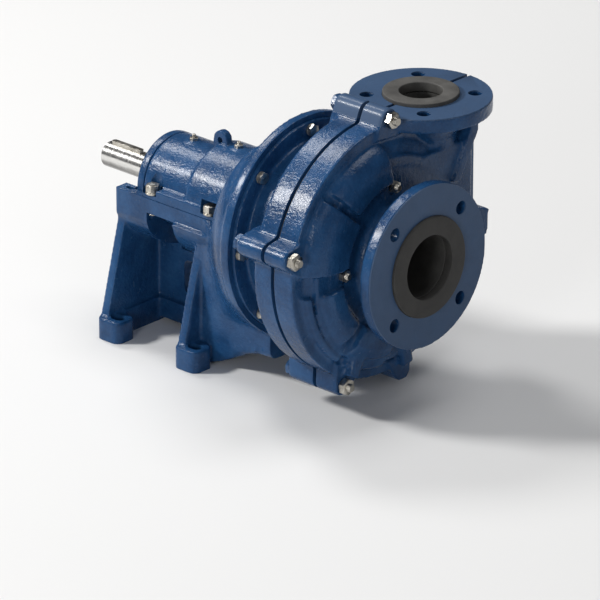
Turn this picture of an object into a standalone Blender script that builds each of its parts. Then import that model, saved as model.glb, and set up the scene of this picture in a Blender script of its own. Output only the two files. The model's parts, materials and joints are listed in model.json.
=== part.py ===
"""Horizontal slurry pump with a rubber lined casing, one object for each piece.

Metres, +Z up. The origin is on the floor under the shaft, midway between the feet.
+X runs along the shaft towards the suction flange. Pieces on the shaft line are
modelled about the X axis and placed at the shaft's height.
"""

from math import acos, asin, atan2, cos, degrees, pi, radians, sin, sqrt

import bmesh
import bpy
from mathutils import Matrix, Vector

# Whole pump
SHAFT_HEIGHT = 0.1775
SEAT = 0.0003
ADJUST_BACK = 0.003
THROUGH = 0.0100
ROUND_SIDES = 24
FINE_SIDES = 30
SMALL_SIDES = 12
HOLE_SIDES = 6
OPEN_HOLE_SIDES = 10

# Pedestal
BASE_START = -0.0765
FOOT_LENGTH = 0.0350
FOOT_WIDTH = 0.0310
FOOT_HEIGHT = 0.0260
FOOT_SPREAD = 0.0987
FOOT_SLOT_RADIUS = 0.0070
PUMP_WALL_START = 0.0450
WALL = 0.0120
RAIL_REACH = 0.0017
RAIL_DROP = 0.0026
RAIL_DEPTH = 0.0290
CRADLE_WALL = 0.0110
WEB_WALL = 0.0140
PLINTH_HEIGHT = 0.0240
PLINTH_WALL = 0.0260
WEB_WINDOW_START = -0.0240
WEB_WINDOW_LENGTH = 0.0300
WEB_WINDOW_FOOT = 0.0420
WEB_WINDOW_HEIGHT = 0.0420
SCREW_WINDOW_START = -0.0270
SCREW_WINDOW_LENGTH = 0.0440
SCREW_WINDOW_DROP = 0.0200
RING_START = 0.1510
RING_THICKNESS = 0.0110
RING_RADIUS = 0.1300
RING_BORE = 0.0960
REGISTER_DEPTH = 0.0045
BELL_WALL = 0.0068
BELL_RISE_START = 0.0980
BELL_OPEN_LOW = 93.5
BELL_OPEN_HIGH = 30.0
BELL_ROWS = 6
BELL_STEPS = 20
APRON_DROP = 0.1480
APRON_HALF_WIDTH = 0.0620

# Bearing housing and what it holds
HOUSING_START = -0.0433
HOUSING_LENGTH = 0.1403
HOUSING_RADIUS = 0.0525
HOUSING_STEP = 0.0240
HOUSING_BIG_RADIUS = 0.0628
HOUSING_BORE = 0.0310
LEDGE_HEIGHT = 0.0090
LEDGE_FLOOR = 0.0050
LEDGE_ROOT = 0.0040
CLAMP_BOLT_INSET = 0.0065
CLAMP_BOLT_XS = (-0.0230, 0.0670)
CLAMP_BOLT_RADIUS = 0.0050
CLAMP_BOLT_SHANK = 0.0260
CLAMP_POCKET_RADIUS = 0.0118
LIFTING_EYE_X = 0.0315
LIFTING_EYE_LENGTH = 0.0250
LIFTING_EYE_WALL = 0.0100
LIFTING_EYE_TOP = 0.0770
END_COVER_THICKNESS = 0.0098
NIPPLE_XS = (-0.0140, 0.0560)
ADJUSTER_CLEARANCE = 0.0155
ADJUSTER_RADIUS = 0.0060
ADJUSTER_LUG_START = -0.0080
ADJUSTER_LUG = 0.0140
ADJUSTER_LUG_RADIUS = 0.0110

# Bearings
DRIVE_BEARING_BORE = 0.0178
DRIVE_BEARING_RADIUS = 0.0360
DRIVE_BEARING_WIDTH = 0.0220
PUMP_BEARING_BORE = 0.0228
PUMP_BEARING_RADIUS = 0.0425
PUMP_BEARING_WIDTH = 0.0240
ROLLERS = 8
RACE_GAP = 0.0003
RACE_SLOPE = 0.16
CAGE_HALF = 0.0012

# Shaft line
SHAFT_END = -0.1490
COUPLING_RADIUS = 0.0150
SHAFT_MIDDLE_RADIUS = 0.0210
SHAFT_NOSE_RADIUS = 0.0180
SLEEVE_BORE = 0.0163
SLEEVE_RADIUS = 0.0220
SHAFT_THREAD_RADIUS = 0.0120
KEY_WIDTH = 0.0080
KEY_HEIGHT = 0.0070
KEY_LENGTH = 0.0480
LABYRINTH_GAP = 0.0010

# Wet end
SPLIT_X = 0.2464
SEAM = 0.0050
CASE_RADIUS = 0.1477
CASE_SIDE = 0.0023
CASE_NECK = 0.0107
FRAME_RIM = 0.0260
COVER_RIM = 0.0270
CASE_WALL = 0.0100
LINER = 0.0095
CHAMBER_WIDTH = 0.0500
TONGUE_DEPTH = 0.0517
THROAT_DEPTH = 0.0297
TONGUE_ANGLE = 45.0
PLATE_FLANGE_RADIUS = 0.1235
PLATE_FLANGE = 0.0080
DRUM_RADIUS = 0.1040
HUB_RADIUS = 0.0660
FLARE_START = 0.1960
PLATE_BOLTS = 8
PLATE_BOLT_CIRCLE = 0.1145
PLATE_BOLT_RADIUS = 0.0040
LUG_REACH = 0.0078
LUG_RADIUS = 0.0125
LUG_ANGLES = (88.0, 167.0, 244.0, 281.0, 355.0)
NUTTED_LUGS = 3
LUG_FRAME_START = 0.2070
LUG_COVER_END = 0.2790
CASE_BOLT_RADIUS = 0.0050
SUCTION_FACE_X = 0.3420
SUCTION_FLANGE_RADIUS = 0.09525
SUCTION_FLANGE = 0.0150
SUCTION_BOLT_CIRCLE = 0.0762
SUCTION_BORE = 0.0370
INTAKE_RADIUS = 0.0585
INTAKE_DEPTH = 0.0075
INTAKE_PROUD = 0.0035
DISCHARGE_INSET = 0.0547
DISCHARGE_RISE = 0.0043
DISCHARGE_FLANGE_RADIUS = 0.0805
DISCHARGE_FLANGE = 0.0170
DISCHARGE_BOLT_CIRCLE = 0.060325
DISCHARGE_BORE = 0.0245
DISCHARGE_JOINT_RADIUS = 0.0432
DISCHARGE_JOINT_DEPTH = 0.0075
DISCHARGE_JOINT_PROUD = 0.0045
FLANGE_BOLT_RADIUS = 0.0080
NECK_RADIUS = 0.0580
RIB_ROOT = 0.0100
BELT_X = 0.2970
BELT_PADS = (
    (138, 177, 0.0717, 0.0117),
    (187, 226, 0.0637, 0.0237),
    (234, 268, 0.0637, 0.0197),
    (290, 345, 0.0637, 0.0197),
    (96, 134, 0.0597, 0.0317),
)
LINER_STUD_CIRCLE = 0.0810
LINER_STUD_RADIUS = 0.0040
LINER_STUD_SEAT = 0.2892
LINER_STUD_RECESS = 0.0085
THROATBUSH_WALL = 0.0130

# Gland and stuffing box
BOX_RADIUS = 0.0500
BOX_FLANGE_RADIUS = 0.0590
BOX_FLANGE = 0.0080
BOX_START = 0.1637
PACKING_RADIUS = 0.0320
PACKING_WIDTH = 0.0090
PACKING_SEAT = 0.2065
GLAND_FLANGE = 0.0100
GLAND_TRAVEL = 0.0100
GLAND_STUD_Y = 0.0440
GLAND_STUD_RADIUS = 0.0040

# Impeller
IMPELLER_CLEARANCE = 0.0090
IMPELLER_START = 0.2220
SHROUD = 0.0065
VANES = 5
VANE_WALL = 0.0060
OUTLET_WIDTH = 0.0270
EYE_RADIUS = 0.0360
EYE_WALL = 0.0075

# Hexagon sizes: distance across flats and height for each bolt radius
M8_FLATS = 0.0130
M8_HEIGHT = 0.0060
M10_FLATS = 0.0170
M10_HEIGHT = 0.0080
M12_FLATS = 0.0190
M12_HEIGHT = 0.0080
M12_HEAD = 0.0075

PAINT = ((0.016, 0.055, 0.170), 0.0, 0.35)
STEEL = ((0.55, 0.54, 0.51), 1.0, 0.35)
BRIGHT = ((0.62, 0.61, 0.60), 1.0, 0.20)
IRON = ((0.16, 0.16, 0.17), 0.9, 0.50)
RUBBER = ((0.030, 0.029, 0.027), 0.0, 0.75)
PACKING = ((0.62, 0.58, 0.47), 0.0, 0.90)
BRASS = ((0.70, 0.50, 0.20), 1.0, 0.35)

# Values that follow from the driving dimensions
HALF_CHAMBER = CHAMBER_WIDTH / 2
RAIL_HALF_WIDTH = HOUSING_BIG_RADIUS + RAIL_REACH
CLAMP_BOLT_Y = RAIL_HALF_WIDTH - CLAMP_BOLT_INSET
ADJUSTER_DROP = HOUSING_RADIUS + ADJUSTER_CLEARANCE
ADJUSTER_LUG_END = ADJUSTER_LUG_START + ADJUSTER_LUG
CASE_SIDE_Y = CASE_RADIUS + CASE_SIDE
CASE_NECK_TOP = CASE_RADIUS - CASE_NECK
TONGUE_RADIUS = CASE_RADIUS - TONGUE_DEPTH
THROAT_RADIUS = CASE_RADIUS - THROAT_DEPTH
LUG_CIRCLE = CASE_RADIUS + LUG_REACH
DISCHARGE_Y = CASE_RADIUS - DISCHARGE_INSET
DISCHARGE_FACE = CASE_RADIUS + DISCHARGE_RISE
IMPELLER_RADIUS = TONGUE_RADIUS - IMPELLER_CLEARANCE
FRAME_RIM_END = SPLIT_X - SEAM / 2
COVER_RIM_START = SPLIT_X + SEAM / 2
RING_END = RING_START + RING_THICKNESS
PLATE_START = RING_END - REGISTER_DEPTH + SEAT
HOUSING_END = HOUSING_START + HOUSING_LENGTH
CAVITY_OFFSET = LINER + SEAT
CAVITY_REAR = SPLIT_X - HALF_CHAMBER - CAVITY_OFFSET
CAVITY_FRONT = SPLIT_X + HALF_CHAMBER + CAVITY_OFFSET
PUMP_BEARING_END = HOUSING_END - 0.0095
PUMP_BEARING_START = PUMP_BEARING_END - PUMP_BEARING_WIDTH
DRIVE_BEARING_START = HOUSING_START + 0.0048
DRIVE_BEARING_END = DRIVE_BEARING_START + DRIVE_BEARING_WIDTH
LABYRINTH_END = HOUSING_END + END_COVER_THICKNESS + 0.0160
GLAND_START = BOX_START - 0.0052 - GLAND_FLANGE


def clear_scene():
    for thing in list(bpy.data.objects):
        bpy.data.objects.remove(thing, do_unlink=True)


def material_for(name, look):
    colour, metallic, roughness = look
    material = bpy.data.materials.new(name)
    material.use_nodes = True
    shader = material.node_tree.nodes["Principled BSDF"]
    shader.inputs["Base Color"].default_value = (*colour, 1.0)
    shader.inputs["Metallic"].default_value = metallic
    shader.inputs["Roughness"].default_value = roughness
    return material


def piece(name, form, look, on_axis=True):
    """Makes the named object of one piece from a bmesh. On the axis, its origin is on the shaft."""
    bmesh.ops.recalc_face_normals(form, faces=form.faces)
    mesh = bpy.data.meshes.new(name)
    form.to_mesh(mesh)
    form.free()
    mesh.shade_smooth()
    mesh.set_sharp_from_angle(angle=radians(35))
    mesh.materials.append(material_for(name, look))
    made = bpy.data.objects.new(name, mesh)
    made.location.z = SHAFT_HEIGHT if on_axis else 0.0
    bpy.context.scene.collection.objects.link(made)
    return made


def helper(form, on_axis=True):
    """Makes a hidden object from a bmesh, to be joined to a piece or cut from it."""
    made = piece("helper", form, PAINT, on_axis)
    made.hide_render = True
    made.display_type = "WIRE"
    return made


def combine(target, operation, forms, on_axis=True):
    for form in forms:
        modifier = target.modifiers.new(operation.lower(), "BOOLEAN")
        modifier.operation = operation
        modifier.object = helper(form, on_axis)
    return target


def join(target, *forms, on_axis=True):
    return combine(target, "UNION", forms, on_axis)


def cut(target, *forms, on_axis=True):
    return combine(target, "DIFFERENCE", forms, on_axis)


def turned(outline, sides=ROUND_SIDES, start=0.0, sweep=360.0):
    """Turns (x, radius) points about the X axis, from an angle measured from +Y towards +Z."""
    form = bmesh.new()
    first = radians(start)
    corners = [form.verts.new((x, r * cos(first), r * sin(first))) for x, r in outline]
    pairs = zip(corners, corners[1:] + corners[:1])
    edges = [form.edges.new(pair) for pair in pairs if pair[0].co.yz.length + pair[1].co.yz.length > 1e-7]
    whole = abs(sweep - 360.0) < 1e-6
    if not whole:
        form.faces.new(corners)
    geometry = (corners + edges) if whole else list(form.verts) + list(form.edges) + list(form.faces)
    bmesh.ops.spin(
        form, geom=geometry, axis=(1, 0, 0), cent=(0, 0, 0), angle=radians(sweep), steps=sides
    )
    bmesh.ops.remove_doubles(form, verts=form.verts, dist=1e-6)
    return form


def ring(low, high, inner, outer, sides=ROUND_SIDES):
    return turned([(low, inner), (low, outer), (high, outer), (high, inner)], sides)


def disc(low, high, radius, sides=ROUND_SIDES):
    return turned([(low, 0.0), (low, radius), (high, radius), (high, 0.0)], sides)


def prism(outline, low, high, axis="X"):
    """Extrudes an outline of (y, z), (x, z) or (x, y) points along X, Y or Z."""
    place = {
        "X": lambda a, b, c: (c, a, b),
        "Y": lambda a, b, c: (a, c, b),
        "Z": lambda a, b, c: (a, b, c),
    }[axis]
    form = bmesh.new()
    face = form.faces.new([form.verts.new(place(a, b, low)) for a, b in outline])
    raised = bmesh.ops.extrude_face_region(form, geom=[face])["geom"]
    moved = [corner for corner in raised if isinstance(corner, bmesh.types.BMVert)]
    bmesh.ops.translate(form, verts=moved, vec=Vector(place(0.0, 0.0, high - low)))
    return form


def box(low, high):
    outline = [(low[1], low[2]), (high[1], low[2]), (high[1], high[2]), (low[1], high[2])]
    return prism(outline, low[0], high[0])


def arc(centre, radius, start, end, steps):
    """Points of an arc, from one angle to another in degrees."""
    angles = [radians(start + (end - start) * i / steps) for i in range(steps + 1)]
    return [(centre[0] + radius * cos(a), centre[1] + radius * sin(a)) for a in angles]


def rounded(low, high, radius, steps=3):
    """Outline of a rectangle with round corners."""
    points = []
    corners = ((180, low[0], low[1]), (270, high[0], low[1]), (0, high[0], high[1]), (90, low[0], high[1]))
    for turn, x, y in corners:
        inward = (radius if x == low[0] else -radius, radius if y == low[1] else -radius)
        points += arc((x + inward[0], y + inward[1]), radius, turn, turn + 90, steps)
    return points


def circle(x, y, radius, sides):
    half = 180 / sides
    return arc((x, y), radius, half, 360 - half, sides - 1)


def upright(x, y, low, high, radius, sides=HOLE_SIDES):
    """A vertical cylinder."""
    return prism(circle(x, y, radius, sides), low, high, "Z")


def along(y, z, low, high, radius, sides=HOLE_SIDES):
    """A cylinder parallel to the shaft."""
    return prism(circle(y, z, radius, sides), low, high, "X")


def around(radius, sides=HOLE_SIDES):
    """Corner radius of a polygon that a round of this radius passes through."""
    return radius / cos(pi / sides)


def hole_along(y, z, low, high, radius):
    return along(y, z, low, high, around(radius))


def hole_upright(x, y, low, high, radius, sides=HOLE_SIDES):
    return upright(x, y, low, high, around(radius, sides), sides)


def on_circle(radius, angle):
    return radius * cos(radians(angle)), radius * sin(radians(angle))


def hexagon(y, z, low, high, flats):
    return along(y, z, low, high, flats / 2 / cos(pi / 6), 6)


def nut(name, y, z, low, height, flats, bore):
    made = piece(name, hexagon(y, z, low, low + height, flats), STEEL)
    return cut(made, hole_along(y, z, low - THROUGH, low + height + THROUGH, bore))


def bolt(name, y, z, seat, shank, head, radius, flats, direction=1):
    """A hexagon bolt parallel to the shaft: its head rests on the seat, its shank runs in the direction."""
    low, high = sorted((seat - direction * head / 2, seat + direction * shank))
    made = piece(name, along(y, z, low, high, radius), STEEL)
    low, high = sorted((seat, seat - direction * head))
    return join(made, hexagon(y, z, low, high, flats))


# Pedestal


def base_outline_radius(angle):
    """Distance from the shaft to the ring's outline, a circle with a square apron below."""
    y, z = on_circle(1.0, angle)
    reach = RING_RADIUS
    if z < 0:
        reach = max(reach, min(APRON_DROP / -z, APRON_HALF_WIDTH / max(abs(y), 1e-6)))
    return reach - 0.0015


def wall_outline_radius(angle):
    """Distance from the shaft to the pump end wall's outline, a trapezoid that reaches the floor."""
    y, z = on_circle(1.0, angle)
    side = RAIL_HALF_WIDTH / max(abs(y), 1e-6)
    return min(side, SHAFT_HEIGHT / -z) if z < -1e-6 else side


def smooth(share):
    share = min(1.0, max(0.0, share))
    return share * share * (3 - 2 * share)


def bell_row(x, inset):
    """One section of the bell in (y, z), from its left edge down and round to its right edge."""
    spread = smooth((x - PUMP_WALL_START - WALL) / (RING_START - PUMP_WALL_START - WALL))
    rise = smooth((x - BELL_RISE_START) / (RING_START - BELL_RISE_START))
    open_half = BELL_OPEN_LOW + (BELL_OPEN_HIGH - BELL_OPEN_LOW) * rise
    points = []
    for j in range(BELL_STEPS + 1):
        angle = 90 + open_half + (360 - 2 * open_half) * j / BELL_STEPS
        reach = wall_outline_radius(angle) * (1 - spread) + base_outline_radius(angle) * spread
        points.append(on_circle(reach - inset, angle))
    return points


def bell():
    """The wall that widens from the pump end wall to the ring, open above for the gland."""
    form = bmesh.new()
    start, end = PUMP_WALL_START + WALL / 2, RING_START + RING_THICKNESS / 4
    outer, inner = [], []
    for shell, inset in ((outer, 0.0), (inner, BELL_WALL)):
        for i in range(BELL_ROWS + 1):
            x = start + (end - start) * i / BELL_ROWS
            shell.append([form.verts.new((x, y, z)) for y, z in bell_row(x, inset)])
    for i in range(BELL_ROWS):
        for j in range(BELL_STEPS):
            form.faces.new((outer[i][j], outer[i][j + 1], outer[i + 1][j + 1], outer[i + 1][j]))
            form.faces.new((inner[i][j], inner[i + 1][j], inner[i + 1][j + 1], inner[i][j + 1]))
        for j in (0, BELL_STEPS):
            form.faces.new((outer[i][j], outer[i + 1][j], inner[i + 1][j], inner[i][j]))
    for i in (0, BELL_ROWS):
        for j in range(BELL_STEPS):
            form.faces.new((outer[i][j], outer[i][j + 1], inner[i][j + 1], inner[i][j]))
    return form


def apron_outline():
    """The ring's square foot in (y, z), with round corners and an arc along the ring."""
    inside = (RING_RADIUS + PLATE_FLANGE_RADIUS) / 2
    half = degrees(asin(APRON_HALF_WIDTH / inside))
    corner = 0.012
    points = arc((-APRON_HALF_WIDTH + corner, -APRON_DROP + corner), corner, 180, 270, 3)
    points += arc((APRON_HALF_WIDTH - corner, -APRON_DROP + corner), corner, 270, 360, 3)
    return points + arc((0.0, 0.0), inside, 270 + half, 270 - half, 10)


def end_wall(x):
    """A transverse wall under the cradle, wider at the feet."""
    top = SHAFT_HEIGHT - RAIL_DROP - RAIL_DEPTH
    narrow = RAIL_HALF_WIDTH - CRADLE_WALL / 2
    wide = FOOT_SPREAD - FOOT_WIDTH * 0.25
    arch_foot, arch_top = narrow * 0.62, narrow * 0.42
    arch = [(-arch_foot, 0.0), (-arch_top, PLINTH_HEIGHT), (arch_top, PLINTH_HEIGHT), (arch_foot, 0.0)]
    outline = [(-wide, 0.0)] + arch + [(wide, 0.0), (wide, FOOT_HEIGHT), (narrow, top), (-narrow, top)]
    return prism(outline + [(-wide, FOOT_HEIGHT)], x, x + WALL)


def foot(x, side):
    """One foot, with a slot for a holding down bolt that opens along the shaft."""
    inner, outer = FOOT_SPREAD - FOOT_WIDTH, FOOT_SPREAD
    low, high = sorted((side * inner, side * outer))
    outline = rounded((x, low), (x + FOOT_LENGTH, high), 0.003, 1)
    return prism(outline, 0.0, FOOT_HEIGHT, "Z")


def foot_slot(x, side):
    centre = side * (FOOT_SPREAD - FOOT_WIDTH / 2)
    middle = x + WALL + FOOT_SLOT_RADIUS + 0.0005
    points = arc((middle, centre), FOOT_SLOT_RADIUS, 90, 270, 6)
    far = x + FOOT_LENGTH + THROUGH
    points += [(far, centre - FOOT_SLOT_RADIUS), (far, centre + FOOT_SLOT_RADIUS)]
    return prism(points, -THROUGH, FOOT_HEIGHT + THROUGH, "Z")


def cradle():
    """The trough under the bearing housing, with a flat rail along each side."""
    top, deep = -RAIL_DROP, -RAIL_DROP - RAIL_DEPTH
    under = HOUSING_BIG_RADIUS + SEAT + CRADLE_WALL
    turn_end = degrees(asin(min(0.99, -deep / under)))
    lower = arc((0.0, 0.0), under, -turn_end, -180 + turn_end, 14)
    lower = [(y, z) for y, z in lower if abs(y) < RAIL_HALF_WIDTH - 0.002]
    outline = [(-RAIL_HALF_WIDTH, top), (-RAIL_HALF_WIDTH, deep)] + lower[::-1]
    outline += [(RAIL_HALF_WIDTH, deep), (RAIL_HALF_WIDTH, top)]
    return prism(outline, BASE_START, PUMP_WALL_START + WALL + 0.02)


def base():
    top = SHAFT_HEIGHT
    made = piece("base", cradle(), PAINT)
    for x in (BASE_START, PUMP_WALL_START):
        join(made, end_wall(x), on_axis=False)
        for side in (-1, 1):
            join(made, foot(x, side), on_axis=False)
    web_end = PUMP_WALL_START + WALL / 2
    under = top - HOUSING_BIG_RADIUS - CRADLE_WALL / 2
    join(
        made,
        box((BASE_START + WALL / 2, -WEB_WALL / 2, 0.0), (web_end, WEB_WALL / 2, under)),
        box((BASE_START + WALL / 2, -PLINTH_WALL / 2, 0.0), (web_end, PLINTH_WALL / 2, PLINTH_HEIGHT)),
        on_axis=False,
    )
    join(made, bell())
    register = PLATE_FLANGE_RADIUS + SEAT
    outline = [
        (RING_START, RING_BORE),
        (RING_START, RING_RADIUS),
        (RING_END, RING_RADIUS),
        (RING_END, register),
        (RING_END - REGISTER_DEPTH, register),
        (RING_END - REGISTER_DEPTH, RING_BORE),
    ]
    join(made, turned(outline, FINE_SIDES))
    join(made, prism(apron_outline(), RING_START + 0.0004, RING_END - 0.0005))

    cut(made, disc(BASE_START - THROUGH, HOUSING_STEP - ADJUST_BACK - 0.004, HOUSING_RADIUS + SEAT))
    cut(made, disc(HOUSING_STEP - ADJUST_BACK - 0.0045, RING_START - 0.005, HOUSING_BIG_RADIUS + SEAT))
    window_end = SCREW_WINDOW_START + SCREW_WINDOW_LENGTH
    low = SHAFT_HEIGHT - ADJUSTER_DROP - ADJUSTER_LUG
    cut(
        made,
        box((SCREW_WINDOW_START, -0.1, low), (window_end, 0.1, SHAFT_HEIGHT - SCREW_WINDOW_DROP)),
        prism(
            rounded(
                (WEB_WINDOW_START, WEB_WINDOW_FOOT),
                (WEB_WINDOW_START + WEB_WINDOW_LENGTH, WEB_WINDOW_FOOT + WEB_WINDOW_HEIGHT),
                0.008,
            ),
            -0.02,
            0.02,
            "Y",
        ),
        on_axis=False,
    )
    for x in (BASE_START, PUMP_WALL_START):
        for side in (-1, 1):
            cut(made, foot_slot(x, side), on_axis=False)
    for x in CLAMP_BOLT_XS:
        for side in (-1, 1):
            hole = CLAMP_BOLT_RADIUS + SEAT
            cut(made, hole_upright(x, side * CLAMP_BOLT_Y, -RAIL_DROP - RAIL_DEPTH + 0.001, 0.0, hole))
    for i in range(PLATE_BOLTS):
        y, z = on_circle(PLATE_BOLT_CIRCLE, i * 360 / PLATE_BOLTS)
        cut(made, hole_along(y, z, RING_START - 0.004, RING_END + THROUGH, PLATE_BOLT_RADIUS + SEAT))
    screw_hole = ADJUSTER_RADIUS + SEAT
    cut(made, hole_along(0.0, -ADJUSTER_DROP, BASE_START - THROUGH, SCREW_WINDOW_START + 0.001, screw_hole))
    return made


# Bearing cartridge


def bearing_housing():
    shoulder = (DRIVE_BEARING_END + SEAT, PUMP_BEARING_START - SEAT)
    drive_seat, pump_seat = DRIVE_BEARING_RADIUS + SEAT, PUMP_BEARING_RADIUS + SEAT
    outline = [
        (HOUSING_START, drive_seat),
        (HOUSING_START, HOUSING_RADIUS),
        (HOUSING_STEP, HOUSING_RADIUS),
        (HOUSING_STEP + 0.006, HOUSING_BIG_RADIUS),
        (HOUSING_END, HOUSING_BIG_RADIUS),
        (HOUSING_END, pump_seat),
        (shoulder[1], pump_seat),
        (shoulder[1], HOUSING_BORE),
        (shoulder[0], HOUSING_BORE),
        (shoulder[0], drive_seat),
    ]
    made = piece("bearing_housing", turned(outline), PAINT)
    ledge_low = -RAIL_DROP + SEAT
    reach = RAIL_HALF_WIDTH - 0.0005
    for side in (-1, 1):
        low, high = sorted((side * (PUMP_BEARING_RADIUS + LEDGE_ROOT), side * reach))
        join(made, box((HOUSING_START + 0.008, low, ledge_low), (HOUSING_END - 0.010, high, LEDGE_HEIGHT)))
    eye = [(LIFTING_EYE_X - LIFTING_EYE_LENGTH / 2, HOUSING_RADIUS - 0.004)]
    eye += [(LIFTING_EYE_X + LIFTING_EYE_LENGTH / 2, HOUSING_RADIUS - 0.004)]
    eye_radius = LIFTING_EYE_LENGTH / 2 - 0.002
    eye += arc((LIFTING_EYE_X, LIFTING_EYE_TOP - eye_radius), eye_radius, 0, 180, 8)
    join(made, prism(eye, -LIFTING_EYE_WALL / 2, LIFTING_EYE_WALL / 2, "Y"))
    join(
        made,
        prism(
            [(-ADJUSTER_LUG_RADIUS, -HOUSING_RADIUS + 0.004), (-ADJUSTER_LUG_RADIUS, -ADJUSTER_DROP)]
            + arc((0.0, -ADJUSTER_DROP), ADJUSTER_LUG_RADIUS, 180, 360, 8)
            + [(ADJUSTER_LUG_RADIUS, -HOUSING_RADIUS + 0.004)],
            ADJUSTER_LUG_START,
            ADJUSTER_LUG_END,
        ),
    )
    eye_hole = prism(arc((LIFTING_EYE_X, LIFTING_EYE_TOP - eye_radius), 0.0035, 0, 330, 11), -0.02, 0.02, "Y")
    cut(made, eye_hole)
    screw_hole = ADJUSTER_RADIUS + SEAT
    cut(made, hole_along(0.0, -ADJUSTER_DROP, ADJUSTER_LUG_START - THROUGH, ADJUSTER_LUG_END + THROUGH, screw_hole))
    for x in CLAMP_BOLT_XS:
        for side in (-1, 1):
            cut(made, upright(x, side * CLAMP_BOLT_Y, LEDGE_FLOOR - RAIL_DROP, 0.05, CLAMP_POCKET_RADIUS, 8))
            slot = ADJUST_BACK + CLAMP_BOLT_RADIUS + 0.001
            inner_end = CLAMP_BOLT_Y - CLAMP_BOLT_RADIUS - 0.001
            outward = sorted((side * inner_end, side * (RAIL_HALF_WIDTH + THROUGH)))
            cut(made, box((x - slot, outward[0], -0.03), (x + slot, outward[1], 0.012)))
    for x in NIPPLE_XS:
        cut(made, upright(x, 0.0, HOUSING_BORE - 0.005, HOUSING_BIG_RADIUS + THROUGH, around(0.0033)))
    return made


def end_covers():
    start = HOUSING_START - END_COVER_THICKNESS - SEAT
    spigot = DRIVE_BEARING_START - SEAT
    bore = COUPLING_RADIUS + 0.0075
    outline = [
        (start, bore),
        (start, HOUSING_RADIUS),
        (HOUSING_START - SEAT, HOUSING_RADIUS),
        (HOUSING_START - SEAT, DRIVE_BEARING_RADIUS),
        (spigot, DRIVE_BEARING_RADIUS),
        (spigot, DRIVE_BEARING_RADIUS - 0.0055),
        (HOUSING_START - 0.003, DRIVE_BEARING_RADIUS - 0.0055),
        (HOUSING_START - 0.003, bore),
    ]
    piece("drive_end_cover", turned(outline), PAINT)
    end = HOUSING_END + END_COVER_THICKNESS + SEAT
    spigot = PUMP_BEARING_END + SEAT
    bore = SHAFT_NOSE_RADIUS + 0.0105 + LABYRINTH_GAP
    outline = [
        (spigot, PUMP_BEARING_RADIUS - 0.006),
        (spigot, PUMP_BEARING_RADIUS),
        (HOUSING_END + SEAT, PUMP_BEARING_RADIUS),
        (HOUSING_END + SEAT, HOUSING_BIG_RADIUS),
        (end, HOUSING_BIG_RADIUS),
        (end, bore),
        (HOUSING_END + 0.003, bore),
        (HOUSING_END + 0.003, PUMP_BEARING_RADIUS - 0.006),
    ]
    piece("pump_end_cover", turned(outline), PAINT)


def grease_nipples():
    for i, x in enumerate(NIPPLE_XS):
        radius = HOUSING_RADIUS if x < HOUSING_STEP else HOUSING_BIG_RADIUS
        seat = radius + SEAT
        made = piece(f"grease_nipple_{i + 1}", upright(x, 0.0, seat - 0.008, seat + 0.0005, 0.0030), STEEL)
        join(
            made,
            upright(x, 0.0, seat, seat + 0.0035, 0.0050, 6),
            upright(x, 0.0, seat + 0.003, seat + 0.0075, 0.0025),
        )


def bearing(prefix, start, bore, radius, width):
    """Tapered roller bearing: outer ring, inner ring, and the rollers held in their cage."""
    middle = start + width / 2
    pitch = (bore + radius) / 2 + 0.0004
    thick = (radius - bore) * 0.20
    tilt = atan2(RACE_SLOPE, 1.0)
    spread = (thick + RACE_GAP) / cos(tilt)
    half = width / 2 - 0.0015

    def line(x, offset):
        return pitch + offset + (x - middle) * RACE_SLOPE

    outer = [
        (start, radius),
        (start, around(line(start, spread), ROUND_SIDES)),
        (start + width, around(line(start + width, spread), ROUND_SIDES)),
        (start + width, radius),
    ]
    piece(f"{prefix}_bearing_outer_ring", turned(outer), BRIGHT)
    inner = [
        (start, line(start, -spread)),
        (start, bore),
        (start + width, bore),
        (start + width, line(start + width, -spread)),
    ]
    piece(f"{prefix}_bearing_inner_ring", turned(inner[::-1], SMALL_SIDES), BRIGHT)
    cage = []
    for low, high in ((middle - half, middle - half + 0.002), (middle + half - 0.002, middle + half)):
        outline = [(low, line(low, -CAGE_HALF)), (low, line(low, CAGE_HALF))]
        outline += [(high, line(high, CAGE_HALF)), (high, line(high, -CAGE_HALF))]
        cage.append(turned(outline, ROLLERS))
    made = piece(f"{prefix}_bearing_rollers", cage[0], BRIGHT)
    join(made, cage[1])
    for i in range(ROLLERS):
        roller = disc(-half + 0.001, half - 0.001, thick, 6)
        place = Matrix.Rotation(2 * pi * i / ROLLERS, 4, "X") @ Matrix.Translation((middle, 0.0, pitch))
        bmesh.ops.transform(roller, verts=roller.verts, matrix=place @ Matrix.Rotation(-tilt, 4, "Y"))
        join(made, roller)


# Rotor


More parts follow.
